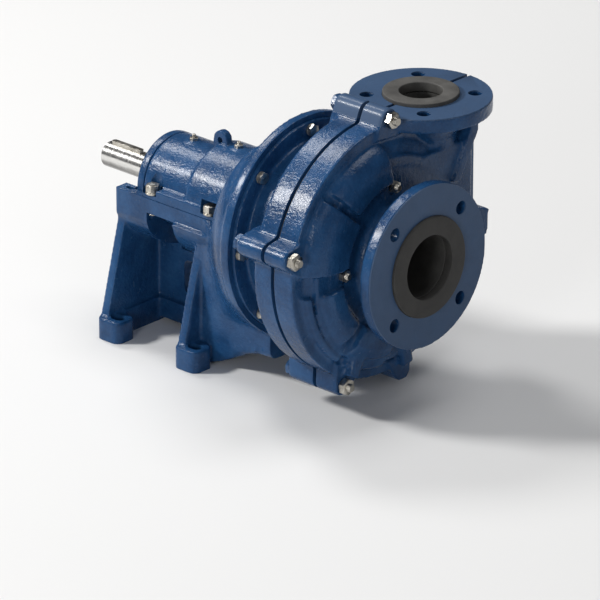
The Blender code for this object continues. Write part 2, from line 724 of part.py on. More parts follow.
def shaft_line():
    drive_seat = DRIVE_BEARING_BORE - SEAT
    pump_seat = PUMP_BEARING_BORE - SEAT
    thread_start = IMPELLER_START + 0.0015
    outline = [
        (SHAFT_END, 0.0),
        (SHAFT_END, COUPLING_RADIUS - 0.001),
        (SHAFT_END + 0.001, COUPLING_RADIUS),
        (DRIVE_BEARING_START - 0.004, COUPLING_RADIUS),
        (DRIVE_BEARING_START - 0.004, drive_seat),
        (DRIVE_BEARING_END + SEAT, drive_seat),
        (DRIVE_BEARING_END + SEAT, SHAFT_MIDDLE_RADIUS),
        (PUMP_BEARING_START - SEAT, SHAFT_MIDDLE_RADIUS + 0.004),
        (PUMP_BEARING_START - SEAT, pump_seat),
        (PUMP_BEARING_END + SEAT, pump_seat),
        (PUMP_BEARING_END + SEAT, SHAFT_NOSE_RADIUS),
        (LABYRINTH_END, SHAFT_NOSE_RADIUS),
        (LABYRINTH_END, SLEEVE_BORE - SEAT),
        (IMPELLER_START - SEAT, SLEEVE_BORE - SEAT),
        (IMPELLER_START - SEAT, SHAFT_THREAD_RADIUS),
        (thread_start + 0.0180, SHAFT_THREAD_RADIUS),
        (thread_start + 0.0190, SHAFT_THREAD_RADIUS - 0.001),
        (thread_start + 0.0190, 0.0),
    ]
    made = piece("shaft", turned(outline, SMALL_SIDES), BRIGHT)
    key_low = COUPLING_RADIUS - KEY_HEIGHT / 2 - 0.0005
    key_start = SHAFT_END + 0.006
    key_end, half_key = key_start + KEY_LENGTH, KEY_WIDTH / 2
    slot = rounded((key_start, -half_key), (key_end, half_key), half_key - 0.0001, 4)
    cut(made, prism(slot, key_low, COUPLING_RADIUS + THROUGH, "Z"))
    key = rounded(
        (key_start + SEAT, -half_key + SEAT),
        (key_end - SEAT, half_key - SEAT),
        half_key - SEAT - 0.0001,
        4,
    )
    piece("shaft_key", prism(key, key_low + SEAT, key_low + SEAT + KEY_HEIGHT, "Z"), STEEL)
    piece(
        "shaft_sleeve",
        ring(LABYRINTH_END + SEAT, IMPELLER_START - SEAT, SLEEVE_BORE, SLEEVE_RADIUS, SMALL_SIDES),
        BRIGHT,
    )
    bore = COUPLING_RADIUS + SEAT
    cover_start = HOUSING_START - END_COVER_THICKNESS
    outside = bore + 0.0072 - LABYRINTH_GAP
    outline = [
        (cover_start - 0.004, bore),
        (cover_start - 0.004, outside + 0.003),
        (cover_start - 0.0015, outside + 0.003),
        (cover_start - 0.0015, outside),
        (DRIVE_BEARING_START - 0.0045, outside),
        (DRIVE_BEARING_START - 0.0045, bore),
    ]
    piece("drive_labyrinth", turned(outline, SMALL_SIDES), STEEL)
    cover_end = HOUSING_END + END_COVER_THICKNESS
    bore = SHAFT_NOSE_RADIUS + SEAT
    outside = SHAFT_NOSE_RADIUS + 0.0105
    outline = [
        (PUMP_BEARING_END + 0.001, bore),
        (PUMP_BEARING_END + 0.001, outside),
        (cover_end + 0.0015, outside),
        (cover_end + 0.0015, outside + 0.005),
        (cover_end + 0.006, outside + 0.005),
        (cover_end + 0.009, outside - 0.004),
        (LABYRINTH_END, outside - 0.004),
        (LABYRINTH_END, bore),
    ]
    piece("pump_labyrinth", turned(outline, SMALL_SIDES), STEEL)


def vane(start_angle):
    """One backward curved vane as an outline of (y, z) points: a spiral thickened on both sides."""
    steps = 5
    inner, outer = EYE_RADIUS * 0.78, IMPELLER_RADIUS - 0.0005
    pressure, suction = [], []
    for i in range(steps + 1):
        share = i / steps
        reach = inner + (outer - inner) * share
        turn = start_angle - 80 * share
        half = VANE_WALL / 2 * (0.55 + 0.45 * sin(pi * min(1.0, share + 0.25)))
        skew = degrees(half / reach)
        pressure.append(on_circle(reach, turn + skew))
        suction.append(on_circle(reach, turn - skew))
    return pressure + suction[::-1]


def impeller():
    """Closed impeller: a disc with a hub behind the vanes, a disc with the eye ahead of them."""
    back = IMPELLER_START + 0.0035
    vane_start = back + SHROUD
    vane_end = vane_start + OUTLET_WIDTH
    front = vane_end + SHROUD
    eye_end = SPLIT_X + HALF_CHAMBER + 0.0050
    hub = SLEEVE_RADIUS + 0.0005
    nose = vane_start + 0.0150
    bore = SHAFT_THREAD_RADIUS + SEAT
    blind = IMPELLER_START + 0.0215
    outline = [
        (IMPELLER_START, bore),
        (IMPELLER_START, hub),
        (back, hub),
        (back, IMPELLER_RADIUS),
        (vane_start, IMPELLER_RADIUS),
        (vane_start + 0.002, hub + 0.010),
        (vane_start + 0.008, hub - 0.002),
        (nose, hub - 0.009),
        (nose + 0.003, 0.0),
        (blind, 0.0),
        (blind, bore),
    ]
    made = piece("impeller", turned(outline, ROUND_SIDES), IRON)
    for i in range(VANES):
        join(made, prism(vane(i * 360 / VANES), vane_start - 0.0010, vane_end + 0.0010))
    outline = [
        (vane_end, IMPELLER_RADIUS),
        (front, IMPELLER_RADIUS),
        (front + 0.001, EYE_RADIUS + EYE_WALL + 0.006),
        (front + 0.004, EYE_RADIUS + EYE_WALL),
        (eye_end, EYE_RADIUS + EYE_WALL),
        (eye_end, EYE_RADIUS),
        (front - 0.001, EYE_RADIUS),
        (vane_end, EYE_RADIUS + 0.004),
    ]
    join(made, turned(outline, ROUND_SIDES))
    return made


# Wet end


def spiral(offset, top, steps=18):
    """Outline of the volute in (y, z), moved outwards: a spiral that opens into an upright throat."""
    throat = THROAT_RADIUS + offset
    tongue = 2 * DISCHARGE_Y - throat
    start = degrees(acos(tongue / (TONGUE_RADIUS + offset)))
    points = []
    for i in range(steps + 1):
        angle = start + (360 - start) * i / steps
        share = (angle - TONGUE_ANGLE) / (360 - TONGUE_ANGLE)
        points.append(on_circle(TONGUE_RADIUS + (THROAT_RADIUS - TONGUE_RADIUS) * share + offset, angle))
    return points + [(throat, top), (points[0][0], top)]


def case_outline(inset=0.0, steps=26):
    """Outline of the casing halves in (y, z): a circle with a straight side up to the discharge flange."""
    reach = CASE_RADIUS - inset
    top = CASE_NECK_TOP
    start = degrees(acos(sqrt(reach * reach - top * top) / reach))
    points = arc((0.0, 0.0), reach, start, 360, steps)
    side = CASE_SIDE_Y - inset
    return points + [(side, 0.012), (side, top)]


def lug(angle, low, high):
    """A bolt lug on the casing's rim, round about its bolt and wider at its root."""
    y, z = LUG_CIRCLE, 0.0
    points = [(CASE_RADIUS - 0.014, -LUG_RADIUS * 1.75), (CASE_RADIUS + 0.001, -LUG_RADIUS * 1.30)]
    points += arc((y, z), LUG_RADIUS, -70, 70, 4)
    points += [(CASE_RADIUS + 0.001, LUG_RADIUS * 1.30), (CASE_RADIUS - 0.014, LUG_RADIUS * 1.75)]
    turn = radians(angle)
    outline = [(a * cos(turn) - b * sin(turn), a * sin(turn) + b * cos(turn)) for a, b in points]
    return prism(outline, low, high)


def discharge_neck():
    """The upright neck with its flange, turned about the discharge's centre line."""
    low, flange = 0.060, DISCHARGE_FACE - DISCHARGE_FLANGE
    outline = [
        (low, 0.0),
        (low, 0.046),
        (flange - 0.030, 0.046),
        (flange - 0.010, 0.056),
        (flange, DISCHARGE_FLANGE_RADIUS - 0.006),
        (flange, DISCHARGE_FLANGE_RADIUS),
        (DISCHARGE_FACE, DISCHARGE_FLANGE_RADIUS),
        (DISCHARGE_FACE, 0.0),
    ]
    form = turned(outline, ROUND_SIDES)
    stand = Matrix.Rotation(-pi / 2, 3, "Y")
    bmesh.ops.rotate(form, verts=form.verts, cent=(0, 0, 0), matrix=stand)
    bmesh.ops.translate(form, verts=form.verts, vec=(SPLIT_X, DISCHARGE_Y, 0.0))
    return form


def discharge_cuts():
    """What is cut from both casing halves at the discharge: bore, ring seat and bolt holes."""
    bore = DISCHARGE_BORE + LINER + SEAT
    seat = DISCHARGE_JOINT_RADIUS + SEAT
    seat_low = DISCHARGE_FACE - DISCHARGE_JOINT_DEPTH
    forms = [
        hole_upright(SPLIT_X, DISCHARGE_Y, 0.070, DISCHARGE_FACE + THROUGH, bore, ROUND_SIDES),
        hole_upright(SPLIT_X, DISCHARGE_Y, seat_low, DISCHARGE_FACE + THROUGH, seat, ROUND_SIDES),
    ]
    for i in range(4):
        x, y = on_circle(DISCHARGE_BOLT_CIRCLE, 45 + 90 * i)
        low = DISCHARGE_FACE - DISCHARGE_FLANGE - 0.012
        place = (SPLIT_X + x, DISCHARGE_Y + y)
        forms.append(upright(*place, low, DISCHARGE_FACE + THROUGH, FLANGE_BOLT_RADIUS, OPEN_HOLE_SIDES))
    return forms


def half_space(low, high):
    return box((low, -0.3, -0.3), (high, 0.3, 0.3))


def frame_plate():
    rim_start = FRAME_RIM_END - FRAME_RIM
    made = piece("frame_plate", prism(case_outline(), rim_start, SPLIT_X), PAINT)
    flange_end = PLATE_START + PLATE_FLANGE
    dish = [
        (PLATE_START, BOX_RADIUS - 0.010),
        (PLATE_START, PLATE_FLANGE_RADIUS),
        (flange_end, PLATE_FLANGE_RADIUS),
        (flange_end, DRUM_RADIUS),
        (FLARE_START, DRUM_RADIUS),
        (FLARE_START + 0.012, DRUM_RADIUS + 0.018),
        (rim_start + 0.001, CASE_RADIUS - 0.009),
        (rim_start + 0.001, BOX_RADIUS - 0.010),
    ]
    join(made, turned(dish, FINE_SIDES))
    for angle in LUG_ANGLES:
        join(made, lug(angle, LUG_FRAME_START, SPLIT_X + 0.001))
    join(made, discharge_neck())
    cut(made, half_space(FRAME_RIM_END, SPLIT_X + 0.2))
    wall_start = CAVITY_REAR - CASE_WALL
    relief = [
        (PLATE_START - THROUGH, BOX_FLANGE_RADIUS + 0.010),
        (PLATE_START - THROUGH, DRUM_RADIUS - CASE_WALL),
        (wall_start, DRUM_RADIUS - CASE_WALL),
        (wall_start, HUB_RADIUS),
        (PLATE_START + 0.012, HUB_RADIUS),
        (PLATE_START + 0.012, BOX_FLANGE_RADIUS + 0.010),
    ]
    cut(made, turned(relief, ROUND_SIDES))
    cut(made, prism(spiral(CAVITY_OFFSET, 0.100), CAVITY_REAR, SPLIT_X + 0.05))
    cut(made, disc(PLATE_START - 0.02, SPLIT_X, BOX_RADIUS + SEAT))
    cut(made, disc(PLATE_START - 0.02, BOX_START + BOX_FLANGE + SEAT, BOX_FLANGE_RADIUS + SEAT))
    cut(made, *discharge_cuts())
    for i in range(PLATE_BOLTS):
        y, z = on_circle(PLATE_BOLT_CIRCLE, i * 360 / PLATE_BOLTS)
        cut(made, hole_along(y, z, PLATE_START - THROUGH, flange_end + 0.001, PLATE_BOLT_RADIUS + SEAT))
    for angle in LUG_ANGLES:
        y, z = on_circle(LUG_CIRCLE, angle)
        cut(made, hole_along(y, z, LUG_FRAME_START - THROUGH, SPLIT_X + THROUGH, CASE_BOLT_RADIUS + SEAT))
    return made


def belt_pad(start, end, low, high):
    """One raised length of the belt round the front of the cover plate."""
    outline = [
        (BELT_X - 0.030, low),
        (BELT_X - 0.004, low),
        (BELT_X + 0.001, low + 0.006),
        (BELT_X, (low + high) / 2 + 0.004),
        (BELT_X - 0.008, high - 0.006),
        (BELT_X - 0.020, high),
        (BELT_X - 0.030, high),
    ]
    return turned(outline, max(4, int(abs(end - start) / 6)), start, end - start)


def cover_rib(angle, reach, width):
    """A radial rib from the neck out to a lug."""
    turn = radians(angle)
    root = NECK_RADIUS - RIB_ROOT
    points = [(root, -width / 2), (reach, -width / 2), (reach, width / 2), (root, width / 2)]
    outline = [(a * cos(turn) - b * sin(turn), a * sin(turn) + b * cos(turn)) for a, b in points]
    return prism(outline, COVER_RIM_START + 0.012, BELT_X - 0.006)


def cover_plate():
    rim_end = COVER_RIM_START + COVER_RIM
    made = piece("cover_plate", prism(case_outline(), SPLIT_X, rim_end), PAINT)
    back = SUCTION_FACE_X - SUCTION_FLANGE
    front = [
        (rim_end - 0.004, SUCTION_BORE),
        (rim_end - 0.004, CASE_RADIUS - 0.012),
        (rim_end + 0.004, CASE_RADIUS - 0.024),
        (BELT_X - 0.008, LINER_STUD_CIRCLE + 0.018),
        (BELT_X - 0.006, NECK_RADIUS + 0.006),
        (BELT_X, NECK_RADIUS),
        (back - 0.006, NECK_RADIUS),
        (back, NECK_RADIUS + 0.006),
        (back, SUCTION_FLANGE_RADIUS),
        (SUCTION_FACE_X, SUCTION_FLANGE_RADIUS),
        (SUCTION_FACE_X, SUCTION_BORE),
    ]
    join(made, turned(front, FINE_SIDES))
    for start, end, low, high in BELT_PADS:
        join(made, belt_pad(start, end, CASE_RADIUS - low, CASE_RADIUS - high))
    for angle in LUG_ANGLES:
        join(made, lug(angle, SPLIT_X - 0.001, LUG_COVER_END))
    for angle in (LUG_ANGLES[0], LUG_ANGLES[2], LUG_ANGLES[3]):
        join(made, cover_rib(angle, LUG_CIRCLE - 0.012, 0.016))
    join(made, discharge_neck())
    cut(made, half_space(SPLIT_X - 0.2, COVER_RIM_START))
    cut(made, prism(spiral(CAVITY_OFFSET, 0.100), SPLIT_X - 0.05, CAVITY_FRONT))
    bush = SUCTION_BORE + THROATBUSH_WALL + SEAT
    cut(made, disc(SPLIT_X, SUCTION_FACE_X + THROUGH, bush))
    cut(made, disc(SUCTION_FACE_X - INTAKE_DEPTH, SUCTION_FACE_X + THROUGH, INTAKE_RADIUS + SEAT))
    cut(made, *discharge_cuts())
    for i in range(4):
        y, z = on_circle(SUCTION_BOLT_CIRCLE, 45 + 90 * i)
        cut(made, along(y, z, back - 0.02, SUCTION_FACE_X + THROUGH, FLANGE_BOLT_RADIUS, OPEN_HOLE_SIDES))
        y, z = on_circle(LINER_STUD_CIRCLE, 90 * i)
        cut(made, hole_along(y, z, SPLIT_X, back - 0.002, LINER_STUD_RADIUS + SEAT))
        cut(made, hole_along(y, z, LINER_STUD_SEAT, back - 0.002, LINER_STUD_RECESS))
    for i, angle in enumerate(LUG_ANGLES):
        y, z = on_circle(LUG_CIRCLE, angle)
        end = LUG_COVER_END + THROUGH if i < NUTTED_LUGS else LUG_COVER_END - 0.008
        cut(made, hole_along(y, z, COVER_RIM_START - THROUGH, end, CASE_BOLT_RADIUS + SEAT))
    slot = rounded((CASE_SIDE_Y - 0.014, 0.068), (CASE_SIDE_Y - 0.007, 0.094), 0.003)
    cut(made, prism(slot, COVER_RIM_START - THROUGH, rim_end + 0.002))
    return made


def liner_half(name, front):
    """One half of the rubber liner: volute wall, side wall, half the throat and a lip in the seam."""
    chamber = SPLIT_X + HALF_CHAMBER if front else SPLIT_X - HALF_CHAMBER
    outside = chamber + LINER if front else chamber - LINER
    low, high = sorted((SPLIT_X, outside))
    made = piece(name, prism(spiral(LINER, 0.100), low, high), RUBBER)
    tube_top = DISCHARGE_FACE - DISCHARGE_JOINT_DEPTH - SEAT
    tube = upright(SPLIT_X, DISCHARGE_Y, 0.072, tube_top, DISCHARGE_BORE + LINER, ROUND_SIDES)
    join(made, tube)
    lip = SEAM / 2 - SEAT
    low, high = sorted((SPLIT_X, SPLIT_X + lip if front else SPLIT_X - lip))
    join(made, prism(case_outline(0.0045), low, high))
    if front:
        cut(made, half_space(SPLIT_X - 0.2, SPLIT_X + SEAT / 2))
    else:
        cut(made, half_space(SPLIT_X - SEAT / 2, SPLIT_X + 0.2))
    low, high = sorted((chamber, SPLIT_X - 0.02 if front else SPLIT_X + 0.02))
    cut(made, prism(spiral(0.0, 0.096), low, high))
    cut(made, upright(SPLIT_X, DISCHARGE_Y, 0.060, DISCHARGE_FACE + 0.02, DISCHARGE_BORE, ROUND_SIDES))
    hole = SUCTION_BORE + THROATBUSH_WALL + SEAT if front else BOX_RADIUS + SEAT
    cut(made, disc(SPLIT_X - 0.1, SPLIT_X + 0.1, hole))
    for angle in LUG_ANGLES:
        y, z = on_circle(LUG_CIRCLE, angle)
        cut(made, hole_along(y, z, SPLIT_X - 0.02, SPLIT_X + 0.02, CASE_BOLT_RADIUS + 0.001))
    return made


def suction_rings():
    bush_start = SPLIT_X + HALF_CHAMBER + 0.0070
    wall = SUCTION_BORE + THROATBUSH_WALL
    joint_start = SUCTION_FACE_X - INTAKE_DEPTH + SEAT
    outline = [
        (bush_start, EYE_RADIUS + 0.001),
        (bush_start, wall),
        (joint_start - SEAT, wall),
        (joint_start - SEAT, SUCTION_BORE),
        (bush_start + 0.010, SUCTION_BORE),
    ]
    piece("throatbush", turned(outline), RUBBER)
    face = SUCTION_FACE_X + INTAKE_PROUD
    outline = [
        (joint_start, SUCTION_BORE),
        (joint_start, INTAKE_RADIUS),
        (face, INTAKE_RADIUS),
        (face, SUCTION_BORE + 0.0015),
        (face - 0.0015, SUCTION_BORE),
    ]
    piece("intake_joint", turned(outline), RUBBER)


def discharge_ring():
    low = DISCHARGE_FACE - DISCHARGE_JOINT_DEPTH + SEAT
    face = DISCHARGE_FACE + DISCHARGE_JOINT_PROUD
    outline = [
        (low, DISCHARGE_BORE),
        (low, DISCHARGE_JOINT_RADIUS),
        (face, DISCHARGE_JOINT_RADIUS),
        (face, DISCHARGE_BORE + 0.001),
        (face - 0.001, DISCHARGE_BORE),
    ]
    form = turned(outline)
    bmesh.ops.rotate(form, verts=form.verts, cent=(0, 0, 0), matrix=Matrix.Rotation(-pi / 2, 3, "Y"))
    bmesh.ops.translate(form, verts=form.verts, vec=(SPLIT_X, DISCHARGE_Y, 0.0))
    piece("discharge_joint", form, RUBBER)


def case_fasteners():
    for i, angle in enumerate(LUG_ANGLES):
        y, z = on_circle(LUG_CIRCLE, angle)
        seat = LUG_FRAME_START - SEAT
        nutted = i < NUTTED_LUGS
        end = LUG_COVER_END + M10_HEIGHT + 0.005 if nutted else LUG_COVER_END - 0.009
        bolt(f"cover_bolt_{i + 1}", y, z, seat, end - seat, M10_HEIGHT, CASE_BOLT_RADIUS, M10_FLATS)
        if nutted:
            start = LUG_COVER_END + SEAT
            nut(f"cover_nut_{i + 1}", y, z, start, M10_HEIGHT, M10_FLATS, CASE_BOLT_RADIUS + SEAT)
    for i in range(PLATE_BOLTS):
        y, z = on_circle(PLATE_BOLT_CIRCLE, i * 360 / PLATE_BOLTS)
        seat = PLATE_START + PLATE_FLANGE + SEAT
        shank = seat - RING_START + 0.003
        name = f"frame_plate_bolt_{i + 1}"
        bolt(name, y, z, seat, shank, M8_HEIGHT, PLATE_BOLT_RADIUS, M8_FLATS, direction=-1)
    for i in range(4):
        y, z = on_circle(LINER_STUD_CIRCLE, 90 * i)
        seat = LINER_STUD_SEAT + SEAT
        stud = along(y, z, CAVITY_FRONT, seat + M8_HEIGHT + 0.004, LINER_STUD_RADIUS)
        made = piece(f"liner_stud_nut_{i + 1}", stud, STEEL)
        join(made, hexagon(y, z, seat, seat + M8_HEIGHT, M8_FLATS))


# Gland


def gland_parts():
    box_end = SPLIT_X - HALF_CHAMBER - 0.001
    throat = SLEEVE_RADIUS + 0.0015
    outline = [
        (BOX_START, PACKING_RADIUS),
        (BOX_START, BOX_FLANGE_RADIUS),
        (BOX_START + BOX_FLANGE, BOX_FLANGE_RADIUS),
        (BOX_START + BOX_FLANGE, BOX_RADIUS),
        (box_end, BOX_RADIUS),
        (box_end, throat),
        (PACKING_SEAT, throat),
        (PACKING_SEAT, PACKING_RADIUS),
    ]
    made = piece("stuffing_box", turned(outline), PAINT)
    inner, outer = around(SLEEVE_RADIUS + SEAT, SMALL_SIDES), PACKING_RADIUS - SEAT
    end = PACKING_SEAT - SEAT
    for name, look in (("packing_ring_1", PACKING), ("lantern_ring", BRASS), ("packing_ring_2", PACKING)):
        piece(name, ring(end - PACKING_WIDTH, end, inner, outer, SMALL_SIDES), look)
        end -= PACKING_WIDTH + SEAT
    nose_end = end
    bore = SLEEVE_RADIUS + 0.0012
    made = piece("gland", ring(GLAND_START + 0.001, nose_end, bore - 0.002, outer, SMALL_SIDES), PAINT)
    ear = GLAND_STUD_Y
    outline = arc((ear, 0.0), 0.010, -70, 70, 6) + arc((0.0, 0.0), outer + 0.006, 45, 135, 8)
    outline += arc((-ear, 0.0), 0.010, 110, 250, 6) + arc((0.0, 0.0), outer + 0.006, 225, 315, 8)
    join(made, prism(outline, GLAND_START, GLAND_START + GLAND_FLANGE))
    cut(made, disc(GLAND_START - THROUGH, nose_end + THROUGH, bore, SMALL_SIDES))
    stud_end = BOX_START + 0.016
    for i, side in enumerate((-1, 1)):
        y = side * ear
        cut(made, hole_along(y, 0.0, GLAND_START - THROUGH, nose_end, GLAND_STUD_RADIUS + SEAT))
        start = GLAND_START - GLAND_TRAVEL - M8_HEIGHT - 0.002
        piece(f"gland_stud_{i + 1}", along(y, 0.0, start, stud_end, GLAND_STUD_RADIUS), STEEL)
        low = GLAND_START - SEAT - M8_HEIGHT
        nut(f"gland_nut_{i + 1}", y, 0.0, low, M8_HEIGHT, M8_FLATS, GLAND_STUD_RADIUS + SEAT)
    for side in (-1, 1):
        target = bpy.data.objects["stuffing_box"]
        cut(target, hole_along(side * ear, 0.0, BOX_START - THROUGH, stud_end + SEAT, GLAND_STUD_RADIUS + SEAT))


# Fasteners of the bearing cartridge


def clamp_bolts():
    seat = LEDGE_FLOOR - RAIL_DROP + SEAT
    number = 0
    for x in CLAMP_BOLT_XS:
        for side in (-1, 1):
            number += 1
            y = side * CLAMP_BOLT_Y
            shank = upright(x, y, seat - CLAMP_BOLT_SHANK, seat + 0.001, CLAMP_BOLT_RADIUS)
            made = piece(f"clamp_bolt_{number}", shank, STEEL)
            join(
                made,
                upright(x, y, seat, seat + 0.003, CLAMP_POCKET_RADIUS - 0.0035, 8),
                upright(x, y, seat + 0.0025, seat + 0.0110, M10_FLATS / 2 / cos(pi / 6) - 0.0015, 6),
            )


def adjusting_screw():
    """Held in the drive end wall by its head and collar, and threaded through the housing's lug."""
    start = BASE_START - SEAT
    shank = ADJUSTER_LUG_END + THROUGH - start
    made = bolt("adjusting_screw", 0.0, -ADJUSTER_DROP, start, shank, M12_HEAD, ADJUSTER_RADIUS, M12_FLATS)
    nut_start = SCREW_WINDOW_START + SEAT
    nut("adjusting_lock_nut", 0.0, -ADJUSTER_DROP, nut_start, M12_HEIGHT, M12_FLATS, ADJUSTER_RADIUS + SEAT)
    return made


def main():
    clear_scene()
    base()
    bearing_housing()
    end_covers()
    grease_nipples()
    bearing("drive", DRIVE_BEARING_START, DRIVE_BEARING_BORE, DRIVE_BEARING_RADIUS, DRIVE_BEARING_WIDTH)
    bearing("pump", PUMP_BEARING_START, PUMP_BEARING_BORE, PUMP_BEARING_RADIUS, PUMP_BEARING_WIDTH)
    shaft_line()
    impeller()
    frame_plate()
    cover_plate()
    liner_half("frame_plate_liner", False)
    liner_half("cover_plate_liner", True)
    suction_rings()
    discharge_ring()
    case_fasteners()
    gland_parts()
    clamp_bolts()
    adjusting_screw()


main()
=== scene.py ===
import json
from math import acos, asin, cos, degrees, pi, radians, sin, sqrt

import bmesh
import bpy
from mathutils import Matrix, Vector


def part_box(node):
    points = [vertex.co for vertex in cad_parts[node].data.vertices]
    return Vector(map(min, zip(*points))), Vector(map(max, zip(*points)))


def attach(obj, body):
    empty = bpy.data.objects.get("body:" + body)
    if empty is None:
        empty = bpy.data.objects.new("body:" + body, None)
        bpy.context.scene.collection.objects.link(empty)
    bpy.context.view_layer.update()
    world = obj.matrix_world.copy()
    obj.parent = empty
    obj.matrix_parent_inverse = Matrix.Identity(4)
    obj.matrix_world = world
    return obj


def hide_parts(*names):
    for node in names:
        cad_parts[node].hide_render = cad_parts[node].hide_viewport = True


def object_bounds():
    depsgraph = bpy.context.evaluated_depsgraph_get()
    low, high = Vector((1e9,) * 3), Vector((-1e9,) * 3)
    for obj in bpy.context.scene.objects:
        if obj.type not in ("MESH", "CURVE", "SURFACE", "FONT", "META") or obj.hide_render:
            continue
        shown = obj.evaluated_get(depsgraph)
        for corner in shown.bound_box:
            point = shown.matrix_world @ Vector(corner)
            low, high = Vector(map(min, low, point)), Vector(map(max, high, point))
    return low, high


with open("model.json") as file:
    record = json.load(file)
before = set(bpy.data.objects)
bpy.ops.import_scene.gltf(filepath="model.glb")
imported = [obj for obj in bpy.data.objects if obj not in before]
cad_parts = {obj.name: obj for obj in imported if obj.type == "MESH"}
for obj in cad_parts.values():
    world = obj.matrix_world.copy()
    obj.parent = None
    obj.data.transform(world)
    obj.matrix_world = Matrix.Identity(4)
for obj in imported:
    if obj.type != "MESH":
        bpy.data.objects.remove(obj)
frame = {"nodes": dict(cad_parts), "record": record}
cadBox = [list(corner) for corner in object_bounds()]
print("frame loaded:", len(frame["nodes"]), "nodes")


def span(node, axis=0):
    # Where a node starts and ends along an axis
    return [corner[axis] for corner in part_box(node)]


def middle(node, axis):
    return sum(span(node, axis)) / 2


shaftZ = middle("shaft_sleeve", 2)
seam = {"rear": span("frame_plate")[1], "front": span("cover_plate")[0]}
splitX = (seam["rear"] + seam["front"]) / 2
outletY = middle("discharge_joint", 1)
# The gap between neighbours, and how far a cutter reaches past the face it opens
clearance, margin = 0.0003, 0.01
# Sides of what is turned, large and middling
fineSides, plainSides = 120, 96


def heights(node):
    # Where a node starts and ends above the shaft line
    return [z - shaftZ for z in span(node, 2)]


# Shader maths


class Wire:
    # A socket that can be used in sums: each operator adds one Math node
    def __init__(self, finish, socket):
        self.finish, self.socket = finish, socket

    def maths(self, operation, *values):
        return self.finish.node("ShaderNodeMath", {"operation": operation}, dict(enumerate(values)))

    def __add__(self, other):
        return self.maths("ADD", self, other)

    def __radd__(self, other):
        return self.maths("ADD", other, self)

    def __sub__(self, other):
        return self.maths("SUBTRACT", self, other)

    def __rsub__(self, other):
        return self.maths("SUBTRACT", other, self)

    def __mul__(self, other):
        return self.maths("MULTIPLY", self, other)

    def __rmul__(self, other):
        return self.maths("MULTIPLY", other, self)

    def above(self, edge, width):
        # 0 below the edge, 1 above it, soft over the width
        settings = {"interpolation_type": "SMOOTHSTEP"}
        sockets = {"Value": self, "From Min": edge - width / 2, "From Max": edge + width / 2}
        return self.finish.node("ShaderNodeMapRange", settings, sockets)


class Finish:
    # One material, and the only place that makes shader nodes
    def __init__(self, name, metallic=0.0, roughness=0.5, **fixed):
        self.material = bpy.data.materials.new(name)
        self.material.use_nodes = True
        self.tree = self.material.node_tree
        self.shader = self.tree.nodes["Principled BSDF"]
        self.shader.inputs["Metallic"].default_value = metallic
        self.shader.inputs["Roughness"].default_value = roughness
        for socketName, value in fixed.items():
            self.shader.inputs[socketName.replace("_", " ")].default_value = value
        self.place = self.node("ShaderNodeTexCoord", output="Object")

    def node(self, kind, settings=None, sockets=None, output=0):
        made = self.tree.nodes.new(kind)
        for key, value in (settings or {}).items():
            if key == "stops":
                self.setStops(made.color_ramp, value)
            else:
                setattr(made, key, value)
        for key, value in (sockets or {}).items():
            if isinstance(value, Wire):
                self.tree.links.new(value.socket, made.inputs[key])
            else:
                made.inputs[key].default_value = value
        return Wire(self, made.outputs[output])

    def setStops(self, ramp, stops):
        while len(ramp.elements) < len(stops):
            ramp.elements.new(0.5)
        for element, (place, colour) in zip(ramp.elements, stops):
            element.position = place
            element.color = (*colour, 1.0)

    def feed(self, socketName, wire):
        self.tree.links.new(wire.socket, self.shader.inputs[socketName])

    def noise(self, size, detail, rough, stretch=None):
        # Noise whose lumps are about this many metres across
        place = self.stretched(stretch) if stretch else self.place
        sockets = {"Vector": place, "Scale": 1.0 / size, "Detail": detail, "Roughness": rough}
        return self.node("ShaderNodeTexNoise", sockets=sockets)

    def ramp(self, factor, *stops):
        return self.node("ShaderNodeValToRGB", {"stops": stops}, {"Fac": factor})

    def mix(self, factor, first, second):
        settings = {"data_type": "RGBA"}
        return self.node("ShaderNodeMix", settings, {0: factor, 6: first, 7: second}, output=2)

    def stretched(self, scale):
        return self.node("ShaderNodeMapping", sockets={"Vector": self.place, "Scale": scale})

    def axis(self, letter):
        return self.node("ShaderNodeSeparateXYZ", sockets={"Vector": self.place}, output=letter)

    def bump(self, height, depth):
        # The height runs from 0 to 1 over the depth in metres
        sockets = {"Height": height, "Distance": depth, "Strength": 1.0}
        self.feed("Normal", self.node("ShaderNodeBump", sockets=sockets))


paint = {
    "deep": (0.0065, 0.034, 0.098),
    "blue": (0.0125, 0.056, 0.150),
    "pale": (0.0220, 0.082, 0.200),
    # Painted reflection: the lighter grey drawn on the flange faces that look up or towards the suction
    "faced": (0.0500, 0.088, 0.160),
    "roughness": 0.20,
    "peel": 0.0020,
    "lump": 0.0055,
    "depth": 0.00115,
    "shine": 0.22,
    "coat": 0.08,
    "faceLine": 0.0012,
}


